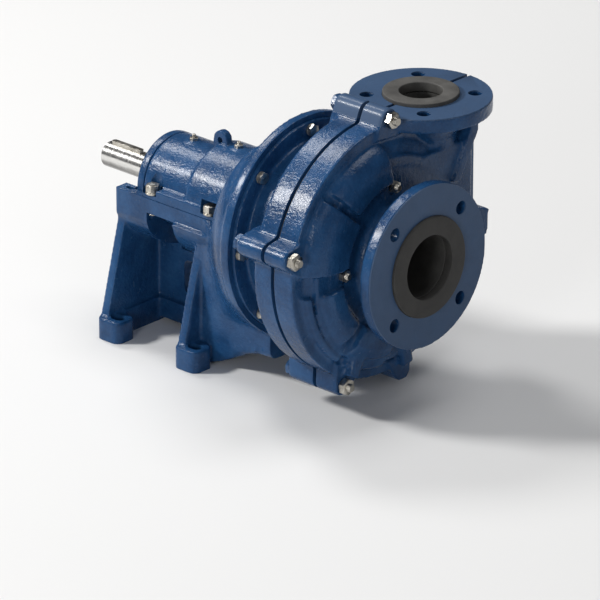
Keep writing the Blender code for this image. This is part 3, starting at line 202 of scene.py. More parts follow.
def paintFinish(name, faced=()):
    # Thick enamel over a sand casting; faces that were machined first are flatter and rougher, and
    # their lighter grey colour is a painted reflection
    gloss = {"Specular_IOR_Level": paint["shine"], "Coat_Weight": paint["coat"], "Coat_Roughness": 0.12}
    made = Finish(name, roughness=paint["roughness"], **gloss)
    patches = made.noise(0.045, 4.0, 0.6)
    specks = made.noise(0.004, 3.0, 0.6)
    shade = patches * 0.75 + specks * 0.25
    colour = made.ramp(shade, (0.34, paint["deep"]), (0.52, paint["blue"]), (0.72, paint["pale"]))
    lumps = made.noise(paint["lump"], 3.0, 0.55)
    peel = made.noise(paint["peel"], 2.0, 0.5)
    swell = made.noise(0.022, 2.0, 0.5)
    height = lumps * 0.45 + peel * 0.40 + swell * 0.45
    rough = paint["roughness"] + 0.30 * (made.noise(0.010, 3.0, 0.6) - 0.42)
    for letter, level in faced:
        facedSheenMask = made.axis(letter).above(level, 0.0008)
        height = height * (1.0 - facedSheenMask * 0.75)
        rough = rough + facedSheenMask * 0.22
        # Painted reflection: the machined faces are drawn a lighter grey
        colour = made.mix(facedSheenMask * 0.7, colour, (*paint["faced"], 1.0))
    made.feed("Base Color", colour)
    made.feed("Roughness", rough)
    made.bump(height, paint["depth"])
    return made.material


rubber = {
    "dark": (0.046, 0.0445, 0.042),
    "worn": (0.086, 0.083, 0.078),
    "roughness": 0.66,
    # Painted shade: how much darker the rubber facing the suction side is drawn
    "paintedFaceShade": 0.48,
}


def rubberFinish(name, shade=1.0):
    # A shade below 1 draws a darker copy of the rubber, as painted shade
    made = Finish(name, roughness=rubber["roughness"])
    bloom = made.noise(0.018, 5.0, 0.62)
    grain = made.noise(0.0009, 2.0, 0.5)
    dark, worn = (tuple(level * shade for level in rubber[tone]) for tone in ("dark", "worn"))
    made.feed("Base Color", made.ramp(bloom * 0.8 + grain * 0.2, (0.36, dark), (0.68, worn)))
    made.feed("Roughness", rubber["roughness"] + 0.25 * (bloom - 0.5))
    made.bump(grain * 0.5 + made.noise(0.006, 3.0, 0.5) * 0.5, 0.00018)
    return made.material


steel = {
    "plated": ((0.34, 0.32, 0.28), (0.62, 0.59, 0.53)),
    # Its dark end also draws the painted reflection streaks along the shaft
    "ground": ((0.16, 0.155, 0.15), (0.66, 0.655, 0.64)),
    "bearing": ((0.55, 0.55, 0.55), (0.72, 0.72, 0.72)),
    "turning": 0.0007,
}
# Draws noise out into rings round the shaft, as turning leaves
latheMarks = (1.0, 0.02, 0.02)
iron = ((0.32, (0.045, 0.043, 0.042)), (0.55, (0.12, 0.118, 0.115)), (0.75, (0.23, 0.225, 0.22)))
packing = {"dark": (0.16, 0.13, 0.08), "pale": (0.52, 0.46, 0.33), "weave": 210.0}
brass = {"dark": (0.42, 0.27, 0.08), "pale": (0.72, 0.50, 0.20)}


def steelFinish(name, colours, roughness, grain, lines=None):
    # Plated or ground steel; lines is the pitch of turning marks along the shaft, and where it is given
    # the colour also gets painted reflection streaks along the shaft
    made = Finish(name, metallic=1.0, roughness=roughness)
    cloud = made.noise(0.010, 4.0, 0.6)
    fine = made.noise(grain, 2.0, 0.5)
    tone = cloud * 0.7 + fine * 0.3
    # Painted reflection: dark and light streaks drawn along the shaft
    if lines:
        tone = tone * 0.3 + made.noise(0.010, 1.0, 0.5, (0.03, 1.0, 1.0)) * 0.7
    made.feed("Base Color", made.ramp(tone, (0.38, colours[0]), (0.62, colours[1])))
    height = fine * 0.4 + cloud * 0.2
    if lines:
        marks = made.noise(lines, 2.0, 0.6, latheMarks)
        height = height * 0.4 + marks * 0.8
        made.feed("Roughness", roughness + 0.30 * (marks - 0.5))
    else:
        made.feed("Roughness", roughness + 0.35 * (cloud - 0.45))
    made.bump(height, 0.00008)
    return made.material


def boltFinish(name, level):
    # Plated steel whose head, below this place along the shaft, was painted over with the casting
    made = Finish(name)
    bare = made.axis("X").above(level, 0.001)
    cloud = made.noise(0.010, 4.0, 0.6)
    dark, pale = steel["plated"]
    plating = made.ramp(cloud, (0.32, dark), (0.66, pale))
    coat = made.ramp(cloud, (0.32, paint["deep"]), (0.66, paint["pale"]))
    made.feed("Base Color", made.mix(bare, coat, plating))
    made.feed("Metallic", bare)
    made.feed("Roughness", 0.26 + bare * 0.06 + (cloud - 0.45) * 0.3)
    made.bump(made.noise(paint["peel"], 2.0, 0.5) * (1.0 - bare), 0.0003)
    return made.material


def ironFinish(name):
    # Hard white iron as cast, rubbed brighter where the slurry runs
    made = Finish(name, metallic=0.85, roughness=0.55)
    cloud = made.noise(0.014, 5.0, 0.65)
    pits = made.noise(0.0013, 3.0, 0.6)
    made.feed("Base Color", made.ramp(cloud * 0.7 + pits * 0.3, *iron))
    made.feed("Roughness", 0.42 + 0.4 * (cloud - 0.4))
    made.bump(pits * 0.7 + cloud * 0.5, 0.0003)
    return made.material


def packingFinish(name):
    # Square braid, greased
    made = Finish(name, roughness=0.85)
    settings = {"wave_type": "BANDS", "bands_direction": "DIAGONAL"}
    sockets = {"Scale": packing["weave"], "Distortion": 1.5}
    first, second = (
        made.node("ShaderNodeTexWave", settings, {"Vector": strand, **sockets})
        for strand in (made.place, made.stretched((1.0, -1.0, 1.0)))
    )
    weave = first.maths("MAXIMUM", first, second)
    made.feed("Base Color", made.ramp(weave, (0.2, packing["dark"]), (0.9, packing["pale"])))
    made.bump(weave, 0.0004)
    return made.material


def brassFinish(name):
    made = Finish(name, metallic=1.0, roughness=0.3)
    cloud = made.noise(0.008, 4.0, 0.6)
    made.feed("Base Color", made.ramp(cloud, (0.3, brass["dark"]), (0.7, brass["pale"])))
    made.feed("Roughness", 0.24 + 0.3 * (cloud - 0.4))
    made.bump(made.noise(0.0006, 2.0, 0.5, latheMarks), 0.00006)
    return made.material


suctionFace = span("cover_plate")[1]
outletTop = shaftZ + 0.152
finishes = {
    "blue_paint": paintFinish("castBluePaint"),
    "liner_rubber": rubberFinish("linerRubber"),
    "plated_steel": steelFinish("platedSteel", steel["plated"], 0.30, 0.0012),
    "shaft_steel": steelFinish("groundSteel", steel["ground"], 0.22, 0.0006, steel["turning"]),
    "bearing_steel": steelFinish("bearingSteel", steel["bearing"], 0.16, 0.0005),
    "wear_iron": ironFinish("hardIron"),
    "packing_rope": packingFinish("packingRope"),
    "lantern_brass": brassFinish("turnedBrass"),
}
# A darker copy of the rubber for the suction ring and the throat bush: painted shade, as they face
# sideways and into the bore
shadedFaceRubber = rubberFinish("suctionRubberPaintedShade", rubber["paintedFaceShade"])
coverBolt = boltFinish("coverBoltPlating", splitX)
# The suction face and the outlet top, which are drawn with the painted reflection
faced = (("X", suctionFace - paint["faceLine"]), ("Z", outletTop - paint["faceLine"]))
coverPaint = paintFinish("coverBluePaint", faced)
print("finishes made:", ", ".join(finishes))


# Mesh tools


def take(piece, names):
    # Several of a piece's measures at once
    return [piece[name] for name in names.split()]


def arc(centre, radius, start, end, steps):
    angles = [radians(start + (end - start) * i / steps) for i in range(steps + 1)]
    return [(centre[0] + radius * cos(a), centre[1] + radius * sin(a)) for a in angles]


def onCircle(radius, angle):
    return radius * cos(radians(angle)), radius * sin(radians(angle))


def eased(outline, radius, steps=3):
    # Rounds the corners of a closed outline, but not those on the axis
    result = []
    for i, corner in enumerate(outline):
        here = Vector(corner)
        back = Vector(outline[i - 1]) - here
        ahead = Vector(outline[(i + 1) % len(outline)]) - here
        reach = min(radius, back.length * 0.45, ahead.length * 0.45)
        straight = min(back.length, ahead.length) < 1e-7 or abs(back.angle(ahead) - pi) < 0.12
        if straight or abs(corner[1]) < 1e-6:
            result.append(corner)
            continue
        first, last = here + back.normalized() * reach, here + ahead.normalized() * reach
        for share in (j / steps for j in range(steps + 1)):
            rest = 1 - share
            result.append(tuple(first * rest**2 + here * 2 * share * rest + last * share**2))
    return result


def turned(outline, sides=72, ease=0.0, start=0.0, sweep=360.0):
    # Turns (x, radius) points about the X axis, from an angle measured from +Y towards +Z
    outline = eased(outline, ease) if ease else outline
    whole = sweep > 359.9
    form = bmesh.new()
    rows = []
    for i in range(sides if whole else sides + 1):
        angle = radians(start + sweep * i / sides)
        rows.append([form.verts.new((x, r * cos(angle), r * sin(angle))) for x, r in outline])
    for i in range(sides):
        first, second = rows[i], rows[(i + 1) % len(rows)]
        for j in range(len(outline)):
            k = (j + 1) % len(outline)
            if outline[j][1] > 1e-7 or outline[k][1] > 1e-7:
                form.faces.new((first[j], first[k], second[k], second[j]))
    if not whole:
        form.faces.new(rows[0])
        form.faces.new(rows[-1])
    bmesh.ops.remove_doubles(form, verts=form.verts, dist=1e-7)
    return form


def ring(low, high, inner, outer, sides=72, ease=0.0):
    return turned([(low, inner), (low, outer), (high, outer), (high, inner)], sides, ease)


def disc(low, high, radius, sides=72):
    return turned([(low, 0.0), (low, radius), (high, radius), (high, 0.0)], sides)


def prism(outline, low, high, axis="X"):
    # Extrudes an outline of (y, z), (x, z) or (x, y) points along X, Y or Z
    places = {
        "X": lambda a, b, c: (c, a, b),
        "Y": lambda a, b, c: (a, c, b),
        "Z": lambda a, b, c: (a, b, c),
    }
    form = bmesh.new()
    face = form.faces.new([form.verts.new(places[axis](a, b, low)) for a, b in outline])
    raised = bmesh.ops.extrude_face_region(form, geom=[face])["geom"]
    moved = [corner for corner in raised if isinstance(corner, bmesh.types.BMVert)]
    bmesh.ops.translate(form, verts=moved, vec=Vector(places[axis](0.0, 0.0, high - low)))
    return form


def block(low, high):
    (start, left, lower), (end, right, upper) = low, high
    return prism([(left, lower), (right, lower), (right, upper), (left, upper)], start, end)


def rounded(low, high, radius, steps=4):
    # Outline of a rectangle with round corners
    left, lower = low[0] + radius, low[1] + radius
    right, upper = high[0] - radius, high[1] - radius
    points = []
    for i, centre in enumerate(((left, lower), (right, lower), (right, upper), (left, upper)), 2):
        points += arc(centre, radius, i % 4 * 90, i % 4 * 90 + 90, steps)
    return points


def circle(x, y, radius, sides=48):
    return arc((x, y), radius, 0, 360 - 360 / sides, sides - 1)


def upright(x, y, low, high, radius, sides=48):
    return prism(circle(x, y, radius, sides), low, high, "Z")


def along(y, z, low, high, radius, sides=48):
    return prism(circle(y, z, radius, sides), low, high)


def slab(low, high, reach=0.3):
    # Cuts off everything between two places along X
    return block((low, -reach, -reach), (high, reach, reach))


def bothSides(inner, outer):
    # Where something between two distances from the middle starts and ends, left and right
    return [sorted((side * inner, side * outer)) for side in (-1, 1)]


def swung(form, angle, axis="X"):
    # Turned about the shaft line
    turn = Matrix.Rotation(radians(angle), 3, axis)
    bmesh.ops.rotate(form, verts=form.verts, cent=(0, 0, 0), matrix=turn)
    return form


def shifted(form, offset):
    bmesh.ops.translate(form, verts=form.verts, vec=Vector(offset))
    return form


def stood(form, x, y):
    # A form made about the X axis is stood up about a vertical line
    return shifted(swung(form, -90, "Y"), (x, y, 0.0))


def gathered(forms):
    # Several closed forms in one bmesh, each facing outwards
    whole = bmesh.new()
    for form in forms:
        bmesh.ops.recalc_face_normals(form, faces=form.faces)
        spare = bpy.data.meshes.new("spare")
        form.to_mesh(spare)
        form.free()
        whole.from_mesh(spare)
        bpy.data.meshes.remove(spare)
    return whole


def linked(name, data):
    made = bpy.data.objects.new(name, data)
    bpy.context.scene.collection.objects.link(made)
    return made


def shown(name, form):
    mesh = bpy.data.meshes.new(name)
    form.to_mesh(mesh)
    form.free()
    return linked(name, mesh)


def solid(name, forms, lift=True):
    # An object from closed forms; those made about the X axis are lifted to the shaft line
    whole = gathered(forms)
    return shown(name, shifted(whole, (0, 0, shaftZ)) if lift else whole)


def settled(made):
    # The mesh as its modifiers leave it
    graph = bpy.context.evaluated_depsgraph_get()
    mesh = bpy.data.meshes.new_from_object(made.evaluated_get(graph))
    made.modifiers.clear()
    made.data = mesh
    return made


def combined(made, operation, forms, solver):
    tools = []
    for form in forms:
        tool = solid("tool", [form])
        modifier = made.modifiers.new("step", "BOOLEAN")
        modifier.operation, modifier.object, modifier.solver = operation, tool, solver
        tools.append(tool)
    settled(made)
    for tool in tools:
        bpy.data.objects.remove(tool)
    return made


def cut(made, *forms, solver="MANIFOLD"):
    return combined(made, "DIFFERENCE", forms, solver)


def joined(made, *forms):
    return combined(made, "UNION", forms, "EXACT")


def bevelled(made, width, angle=30):
    edge = made.modifiers.new("edge", "BEVEL")
    edge.width, edge.segments, edge.limit_method, edge.angle_limit = width, 2, "ANGLE", radians(angle)
    return settled(made)


def cast(made, grain=0.0018, rounds=5, keep=0.3):
    # Melts overlapping forms into one skin with soft corners, as a sand mould gives
    skin = made.modifiers.new("skin", "REMESH")
    skin.mode, skin.voxel_size, skin.adaptivity = "VOXEL", grain, 0.0
    soften = made.modifiers.new("soften", "SMOOTH")
    soften.factor, soften.iterations = 0.5, rounds
    thin = made.modifiers.new("thin", "DECIMATE")
    thin.ratio = keep
    return settled(made)


bodies = frame["record"]["behaviour"]["bodies"]
bodyOf = {node: body for body, nodes in bodies.items() for node in nodes}
sharpFrom = radians(35)


def fitted(made, slotName, node, material=None):
    # Gives a finished piece its shading, its finish and its body, and hides the node it stands for
    made.data.shade_smooth()
    made.data.set_sharp_from_angle(angle=sharpFrom)
    made.data.materials.clear()
    made.data.materials.append(material or finishes[slotName])
    for polygon in made.data.polygons:
        polygon.material_index = 0
    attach(made, bodyOf[node])
    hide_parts(node)


def camel(node):
    first, *others = node.split("_")
    return first + "".join(other.capitalize() for other in others)


def piece(slotName, node, *forms, material=None):
    # A piece that is finished as its forms are, named after its node
    fitted(solid(camel(node), forms), slotName, node, material)


# Fasteners


def skinned(rows):
    # A closed form from rings of points that follow each other along X
    form = bmesh.new()
    rings = [[form.verts.new(point) for point in row] for row in rows]
    for first, second in zip(rings, rings[1:]):
        for i in range(len(first)):
            k = (i + 1) % len(first)
            form.faces.new((first[i], first[k], second[k], second[i]))
    form.faces.new(rings[0])
    form.faces.new(rings[-1])
    return form


def hexForm(flats, low, high, chamfered=(False, True), sides=60):
    # A hexagon along X whose corners are turned off at the chosen ends
    circle = flats / 2 * 0.95
    rows = [[], [], [], []]
    for angle in (360 * i / sides for i in range(sides)):
        reach = flats / 2 / cos(radians((angle + 30) % 60 - 30))
        lowEdge, highEdge = (min(circle, reach) if wanted else reach for wanted in chamfered)
        lowDrop, highDrop = ((reach - circle) * 0.58 * wanted for wanted in chamfered)
        edges = ((low, lowEdge), (low + lowDrop, reach), (high - highDrop, reach), (high, highEdge))
        for row, (x, radius) in zip(rows, edges):
            row.append((x, *onCircle(radius, angle)))
    form = skinned(rows)
    bmesh.ops.remove_doubles(form, verts=form.verts, dist=1e-6)
    return form


def threadForm(radius, low, high, pitch, sides=24):
    # A screw thread along X with a chamfered end on both sides
    depth = pitch * 0.55
    count = max(2, int((high - low) / (pitch / 4)))
    rows = []
    for x in (low + (high - low) * i / count for i in range(count + 1)):
        edge = max(0.0, 1.0 - min(x - low, high - x) / (depth * 1.2))
        row = []
        for j in range(sides):
            tooth = 1.0 - abs((x / pitch - j / sides) % 1.0 * 2 - 1)
            row.append((x, *onCircle(radius - depth * max(tooth * 0.9, edge), 360 * j / sides)))
        rows.append(row)
    return skinned(rows)


def washerForm(low, high, radius):
    return ring(low, high, 0.002, radius, 40, ease=0.0003)


# Pedestal

pedestal = {
    "start": span("base")[0],
    "end": span("base")[1],
    "wall": 0.012,
    "pumpWall": 0.045,
    "railHalf": 0.0645,
    "railDrop": 0.0026,
    "railDepth": 0.029,
    "cradleWall": 0.011,
    "webWall": 0.014,
    "plinthWall": 0.026,
    "plinthHeight": 0.029,
    "webLift": 0.005,
    "footLength": 0.035,
    "footWidth": 0.031,
    "footHeight": 0.026,
    "footSpread": 0.0987,
    "footSlot": 0.007,
    "ringStart": 0.151,
    "ringRadius": 0.130,
    "ringBore": 0.096,
    "boltCircle": 0.1145,
    "boltAngles": range(0, 360, 45),
    "boltHole": 0.0043,
    "register": (0.0045, 0.1238),
    "apronDrop": 0.148,
    "apronHalf": 0.062,
    "apronCorner": 0.012,
    "bellWall": 0.0068,
    "bellRise": 0.098,
    "bellOpening": (93.5, 30.0),
    "webWindow": (-0.024, 0.042, 0.006, 0.084),
    "screwWindow": (-0.027, 0.017, 0.020),
    "screwHole": 0.0063,
    "railSlot": (-0.0625, 0.0540),
    "padInner": 0.044,
    "padEnd": -0.0592,
    "bulgeTop": 0.020,
    "clampHole": 0.0053,
}


def smooth(share):
    # Eases from 0 to 1
    share = min(1.0, max(0.0, share))
    return share * share * (3 - 2 * share)


def ringOutline(angle):
    # Distance from the shaft to the ring's edge, a circle with a square foot
    y, z = onCircle(1.0, angle)
    reach = pedestal["ringRadius"]
    if z < 0:
        square = min(pedestal["apronDrop"] / -z, pedestal["apronHalf"] / max(abs(y), 1e-6))
        reach = max(reach, square)
    return reach - 0.0015


def wallOutline(angle):
    # The same for the end wall, as wide as the rails
    y, z = onCircle(1.0, angle)
    side = pedestal["railHalf"] / max(abs(y), 1e-6)
    return min(side, shaftZ / -z) if z < -1e-6 else side


def bellForm(rows=30, steps=96):
    # The wall that widens from the pump end wall to the ring, open above for the gland
    form = bmesh.new()
    wall, ringStart, bellRise = take(pedestal, "pumpWall ringStart bellRise")
    start, end = wall + pedestal["wall"] / 2, ringStart + 0.003
    spreadStart = wall + pedestal["wall"]
    openLow, openHigh = pedestal["bellOpening"]
    shells = []
    for inset in (0.0, pedestal["bellWall"]):
        shell = []
        for i in range(rows + 1):
            x = start + (end - start) * i / rows
            spread = smooth((x - spreadStart) / (ringStart - spreadStart))
            openHalf = openLow - (openLow - openHigh) * smooth((x - bellRise) / (ringStart - bellRise))
            row = []
            for j in range(steps + 1):
                angle = 90 + openHalf + (360 - 2 * openHalf) * j / steps
                reach = wallOutline(angle) * (1 - spread) + ringOutline(angle) * spread
                row.append(form.verts.new((x, *onCircle(reach - inset, angle))))
            shell.append(row)
        shells.append(shell)
    outer, inner = shells
    for i in range(rows):
        for j in range(steps):
            form.faces.new((outer[i][j], outer[i][j + 1], outer[i + 1][j + 1], outer[i + 1][j]))
            form.faces.new((inner[i][j], inner[i + 1][j], inner[i + 1][j + 1], inner[i][j + 1]))
        for j in (0, steps):
            form.faces.new((outer[i][j], outer[i + 1][j], inner[i + 1][j], inner[i][j]))
    for i in (0, rows):
        for j in range(steps):
            form.faces.new((outer[i][j], outer[i][j + 1], inner[i][j + 1], inner[i][j]))
    return form


def pedestalForms():
    start, wall, pumpWall = take(pedestal, "start wall pumpWall")
    half, spread, footWidth = take(pedestal, "railHalf footSpread footWidth")
    deep, floor = -pedestal["railDrop"] - pedestal["railDepth"], -shaftZ
    under, railTop = cartridge["bigRadius"] + pedestal["cradleWall"], 0.002
    ends, bulge = (degrees(asin(drop / under)) for drop in (-deep, pedestal["bulgeTop"]))
    lower = [p for p in arc((0, 0), under, -180 + ends, -ends, 40) if abs(p[0]) < half - 0.002]
    cradle = [(-half, railTop), (-half, deep)] + lower + [(half, deep), (half, railTop)]
    forms = [prism(cradle, start, pumpWall + wall + 0.02)]
    belly = arc((0, 0), under, -180 + bulge, -bulge, 48)
    forms.append(prism(belly, pedestal["screwWindow"][1], pedestal["bellRise"]))
    for low, high in bothSides(pedestal["padInner"], half):
        forms.append(block((start, low, deep + 0.008), (pedestal["padEnd"], high, railTop)))
    narrow, wide = half - pedestal["cradleWall"] / 2, spread - footWidth * 0.25
    sole, ankle = floor - 0.002, 0.024 + floor
    outline = [(-wide, sole), (wide, sole), (wide, ankle)]
    outline += [(narrow, deep), (-narrow, deep), (-wide, ankle)]
    for x in (start, pumpWall):
        forms.append(prism(outline, x, x + wall))
        for low, high in bothSides(spread - footWidth, spread):
            foot = rounded((x, low), (x + pedestal["footLength"], high), 0.009, 6)
            forms.append(prism(foot, sole, floor + pedestal["footHeight"], "Z"))
    plinth, inside = floor + pedestal["plinthHeight"], start + wall / 2
    for thick, top in ((pedestal["webWall"], -under + 0.004), (pedestal["plinthWall"], plinth)):
        low = (inside, -thick / 2, floor + pedestal["webLift"])
        forms.append(block(low, (pumpWall + wall / 2, thick / 2, top)))
    reach = spread - footWidth
    forms += [block((inside, -reach, sole), (start + wall + 0.006, reach, plinth)), bellForm()]
    ringBack, end, bore, ringRadius = take(pedestal, "ringStart end ringBore ringRadius")
    forms.append(ring(ringBack, end + 0.001, bore, ringRadius + 0.0003, fineSides))
    side, drop, corner = take(pedestal, "apronHalf apronDrop apronCorner")
    spanned = degrees(asin(side / (ringRadius - 0.004)))
    apron = arc((-side + corner, -drop + corner), corner, 180, 270, 6)
    apron += arc((side - corner, -drop + corner), corner, 270, 360, 6)
    apron += arc((0.0, 0.0), ringRadius - 0.004, 270 + spanned, 270 - spanned, 20)
    forms.append(prism(apron, ringBack, end + 0.001))
    return forms


def pedestalCasting():
    start, wall, ringBack = take(pedestal, "start wall ringStart")
    end, floor, step = pedestal["end"], -shaftZ, cartridge["step"]
    railTop = -pedestal["railDrop"]
    deep = railTop - pedestal["railDepth"]
    made = cast(solid("pedestal", pedestalForms()), keep=0.32)
    cuts = [
        block((start - margin, -0.2, floor - 0.02), (0.25, 0.2, floor)),
        slab(end - 0.0002, 0.25, 0.2),
        block((start - margin, -0.08, railTop), (pedestal["bellRise"] - 0.006, 0.08, 0.05)),
        slab(start - margin, start + 0.0002, 0.2),
        disc(start - margin, pedestal["padEnd"] + 0.0004, pedestal["padInner"] + 0.002, plainSides),
        disc(pedestal["padEnd"], step - 0.007, cartridge["radius"] + clearance, plainSides),
        disc(step - 0.0075, ringBack - 0.005, cartridge["bigRadius"] + clearance, plainSides),
        disc(end - pedestal["register"][0], 0.25, pedestal["register"][1], fineSides),
    ]
    windowStart, windowEnd, drop = pedestal["screwWindow"]
    cuts.append(block((windowStart, -0.1, -0.082), (windowEnd, 0.1, -drop)))
    x, z, length, high = pedestal["webWindow"]
    cuts.append(prism(rounded((x, z + floor), (length, high + floor), 0.008), -0.02, 0.02, "Y"))
    radius = pedestal["footSlot"]
    for x in (start, pedestal["pumpWall"]):
        slotX = x + wall + radius + 0.0005
        for side in (-1, 1):
            y = side * (pedestal["footSpread"] - pedestal["footWidth"] / 2)
            slot = arc((slotX, y), radius, 90, 270, 16) + arc((slotX + 0.004, y), radius, -90, 90, 16)
            cuts.append(prism(slot, floor - margin, floor + 0.04, "Z"))
    for x, y in clampPlaces:
        cuts.append(upright(x, y, deep + 0.001, 0.02, pedestal["clampHole"], 24))
    for angle in pedestal["boltAngles"]:
        place = onCircle(pedestal["boltCircle"], angle)
        cuts.append(along(*place, ringBack - 0.004, 0.25, pedestal["boltHole"], 20))
    drop, hole = -cartridge["adjusterDrop"], pedestal["screwHole"]
    cuts.append(along(0.0, drop, start - margin, windowStart + 0.001, hole, 24))
    x, y = pedestal["railSlot"]
    for y in (-y, y):
        slot = rounded((x - 0.006, y - 0.003), (x + 0.006, y + 0.003), 0.0029)
        cuts.append(prism(slot, -0.020, 0.02, "Z"))
    cut(made, *cuts)
    fitted(made, "blue_paint", "base")


# Bearing cartridge

cartridge = {
    "start": span("bearing_housing")[0],
    "end": span("bearing_housing")[1],
    "radius": 0.0525,
    "bigRadius": 0.0628,
    "step": 0.024,
    "ledgeHeight": 0.009,
    "ledgeFloor": 0.0024,
    "boltY": 0.058,
    "boltXs": (-0.023, 0.067),
    "pockets": ((0.030, 0.0118), (0.0185, 0.0118)),
    "eyeX": 0.0315,
    "eyeLength": 0.025,
    "eyeWall": 0.010,
    "eyeTop": heights("bearing_housing")[1],
    "eyeHole": 0.0038,
    "nippleXs": (-0.014, 0.056),
    "nippleBoss": 0.0085,
    "adjusterDrop": 0.068,
    "adjusterHalf": 0.0115,
    "bearingBores": ((0.0268, 0.0363), (0.0338, 0.0428)),
    "waist": 0.031,
}
clampPlaces = [(x, side * cartridge["boltY"]) for x in cartridge["boltXs"] for side in (-1, 1)]


def housingCasting():
    start, end = take(cartridge, "start end")
    small, big, step = take(cartridge, "radius bigRadius step")
    core, ledgeTop, root = 0.02, cartridge["ledgeHeight"] + 0.0005, small - 0.004
    barrel = [(start, core), (start, small), (step - 0.001, small)]
    barrel += [(step + 0.007, big), (end, big), (end, core)]
    forms = [turned(barrel, fineSides)]
    for low, high in bothSides(small - 0.008, pedestal["railHalf"] - 0.0008):
        forms.append(block((start + 0.008, low, -0.0045), (end - 0.010, high, ledgeTop)))
    eyeX, eyeHalf, eyeWall = cartridge["eyeX"], cartridge["eyeLength"] / 2, cartridge["eyeWall"] / 2
    eyeRadius = eyeHalf - 0.002
    eyeZ = cartridge["eyeTop"] - eyeRadius
    eye = [(eyeX - eyeHalf, root), (eyeX + eyeHalf, root)]
    eye += arc((eyeX, eyeZ + 0.0004), eyeRadius, 0, 180, 20)
    forms.append(prism(eye, -eyeWall, eyeWall, "Y"))
    half, drop = cartridge["adjusterHalf"], -cartridge["adjusterDrop"]
    lug = [(-half, -root), (-half, drop), *arc((0.0, drop), half, 180, 360, 20), (half, -root)]
    forms.append(prism(lug, -0.008, 0.006))
    for x in cartridge["nippleXs"]:
        top = (small if x < step else big) + 0.0008
        forms.append(upright(x, 0.0, top - 0.01, top, cartridge["nippleBoss"], 32))
    made = cast(solid("bearingHousing", forms), 0.0014, 4)
    (driveDepth, driveBore), (pumpDepth, pumpBore) = cartridge["bearingBores"]
    cuts = [
        slab(start - 0.02, start + 0.0001, 0.1),
        slab(end - 0.0001, end + 0.02, 0.1),
        disc(start - margin, start + driveDepth, driveBore, plainSides),
        disc(start, end, cartridge["waist"], plainSides),
        disc(end - pumpDepth, end + margin, pumpBore, plainSides),
        prism(circle(eyeX, eyeZ, cartridge["eyeHole"], 32), -0.02, 0.02, "Y"),
        along(0.0, drop, -0.02, 0.02, pedestal["screwHole"], 24),
    ]
    for low, high in bothSides(small + 0.0005, 0.08):
        cuts.append(block((start - margin, low, -0.01), (end + margin, high, -0.0023)))
    for x, y in clampPlaces:
        pocketTop, pocket = cartridge["pockets"][x > step]
        cuts.append(upright(x, y, cartridge["ledgeFloor"], pocketTop, pocket))
        low, high = bothSides(cartridge["boltY"] - 0.006, cartridge["boltY"] + 0.0052)[y > 0]
        cuts.append(block((x - 0.009, low, -0.03), (x + 0.009, high, 0.012)))
    for x in cartridge["nippleXs"]:
        cuts.append(upright(x, 0.0, 0.025, 0.08, 0.0033, 20))
    cut(made, *cuts)
    fitted(made, "blue_paint", "bearing_housing")


covers = {"thick": 0.0098, "ease": 0.0012, "driveBore": 0.0225, "pumpBore": 0.0295, "groove": 0.0365}


def endCovers():
    start, inner = span("drive_end_cover")[0], cartridge["start"]
    housing, bore, ease = cartridge["radius"], covers["driveBore"], covers["ease"]
    drive = [
        (start, bore), (start, bore + 0.0035), (start + 0.0012, bore + 0.005),
        (start + 0.0012, housing - 0.011), (start, housing - 0.0095), (start, housing),
        (inner - clearance, housing), (inner - clearance, 0.036), (inner + 0.0045, 0.036),
        (inner + 0.0045, 0.0305), (inner - 0.003, 0.0305), (inner - 0.003, bore),
    ]
    piece("blue_paint", "drive_end_cover", turned(drive, plainSides, ease))
    inner, end, big = cartridge["end"], span("pump_end_cover")[1], cartridge["bigRadius"]
    bore, groove = take(covers, "pumpBore groove")
    pump = [
        (inner - 0.0092, groove), (inner - 0.0092, 0.0425), (inner + clearance, 0.0425),
        (inner + clearance, big), (end, big), (end, bore), (inner + 0.003, bore),
        (inner + 0.003, groove),
    ]
    piece("blue_paint", "pump_end_cover", turned(pump, plainSides, ease))


nipples = {"flats": 0.0088, "hexagon": 0.0036, "rise": 0.0075, "stem": 0.003}


def greaseNipples():
    for i, x in enumerate(cartridge["nippleXs"], 1):
        node = f"grease_nipple_{i}"
        low, high = heights(node)
        seat = high - nipples["rise"]
        head = [
            (seat + 0.003, 0.0), (seat + 0.003, 0.0027), (seat + 0.0046, 0.0017),
            (seat + 0.0052, 0.0017), (seat + 0.0066, 0.0026), (high, 0.0015), (high, 0.0),
        ]
        forms = [
            disc(low, seat + 0.0005, nipples["stem"], 24),
            hexForm(nipples["flats"], seat, seat + nipples["hexagon"]),
            turned(head, 32, 0.0004),
        ]
        piece("plated_steel", node, *(stood(form, x, 0.0) for form in forms))


# Shaft line

shaftLine = {
    "start": span("shaft")[0],
    "end": span("shaft")[1],
    "coupling": 0.015,
    "seats": (0.0175, 0.0225, 0.016, 0.012),
    "key": (0.008, 0.007, 0.048),
    "keyInset": 0.006,
    "sleeve": (0.0163, 0.022),
}


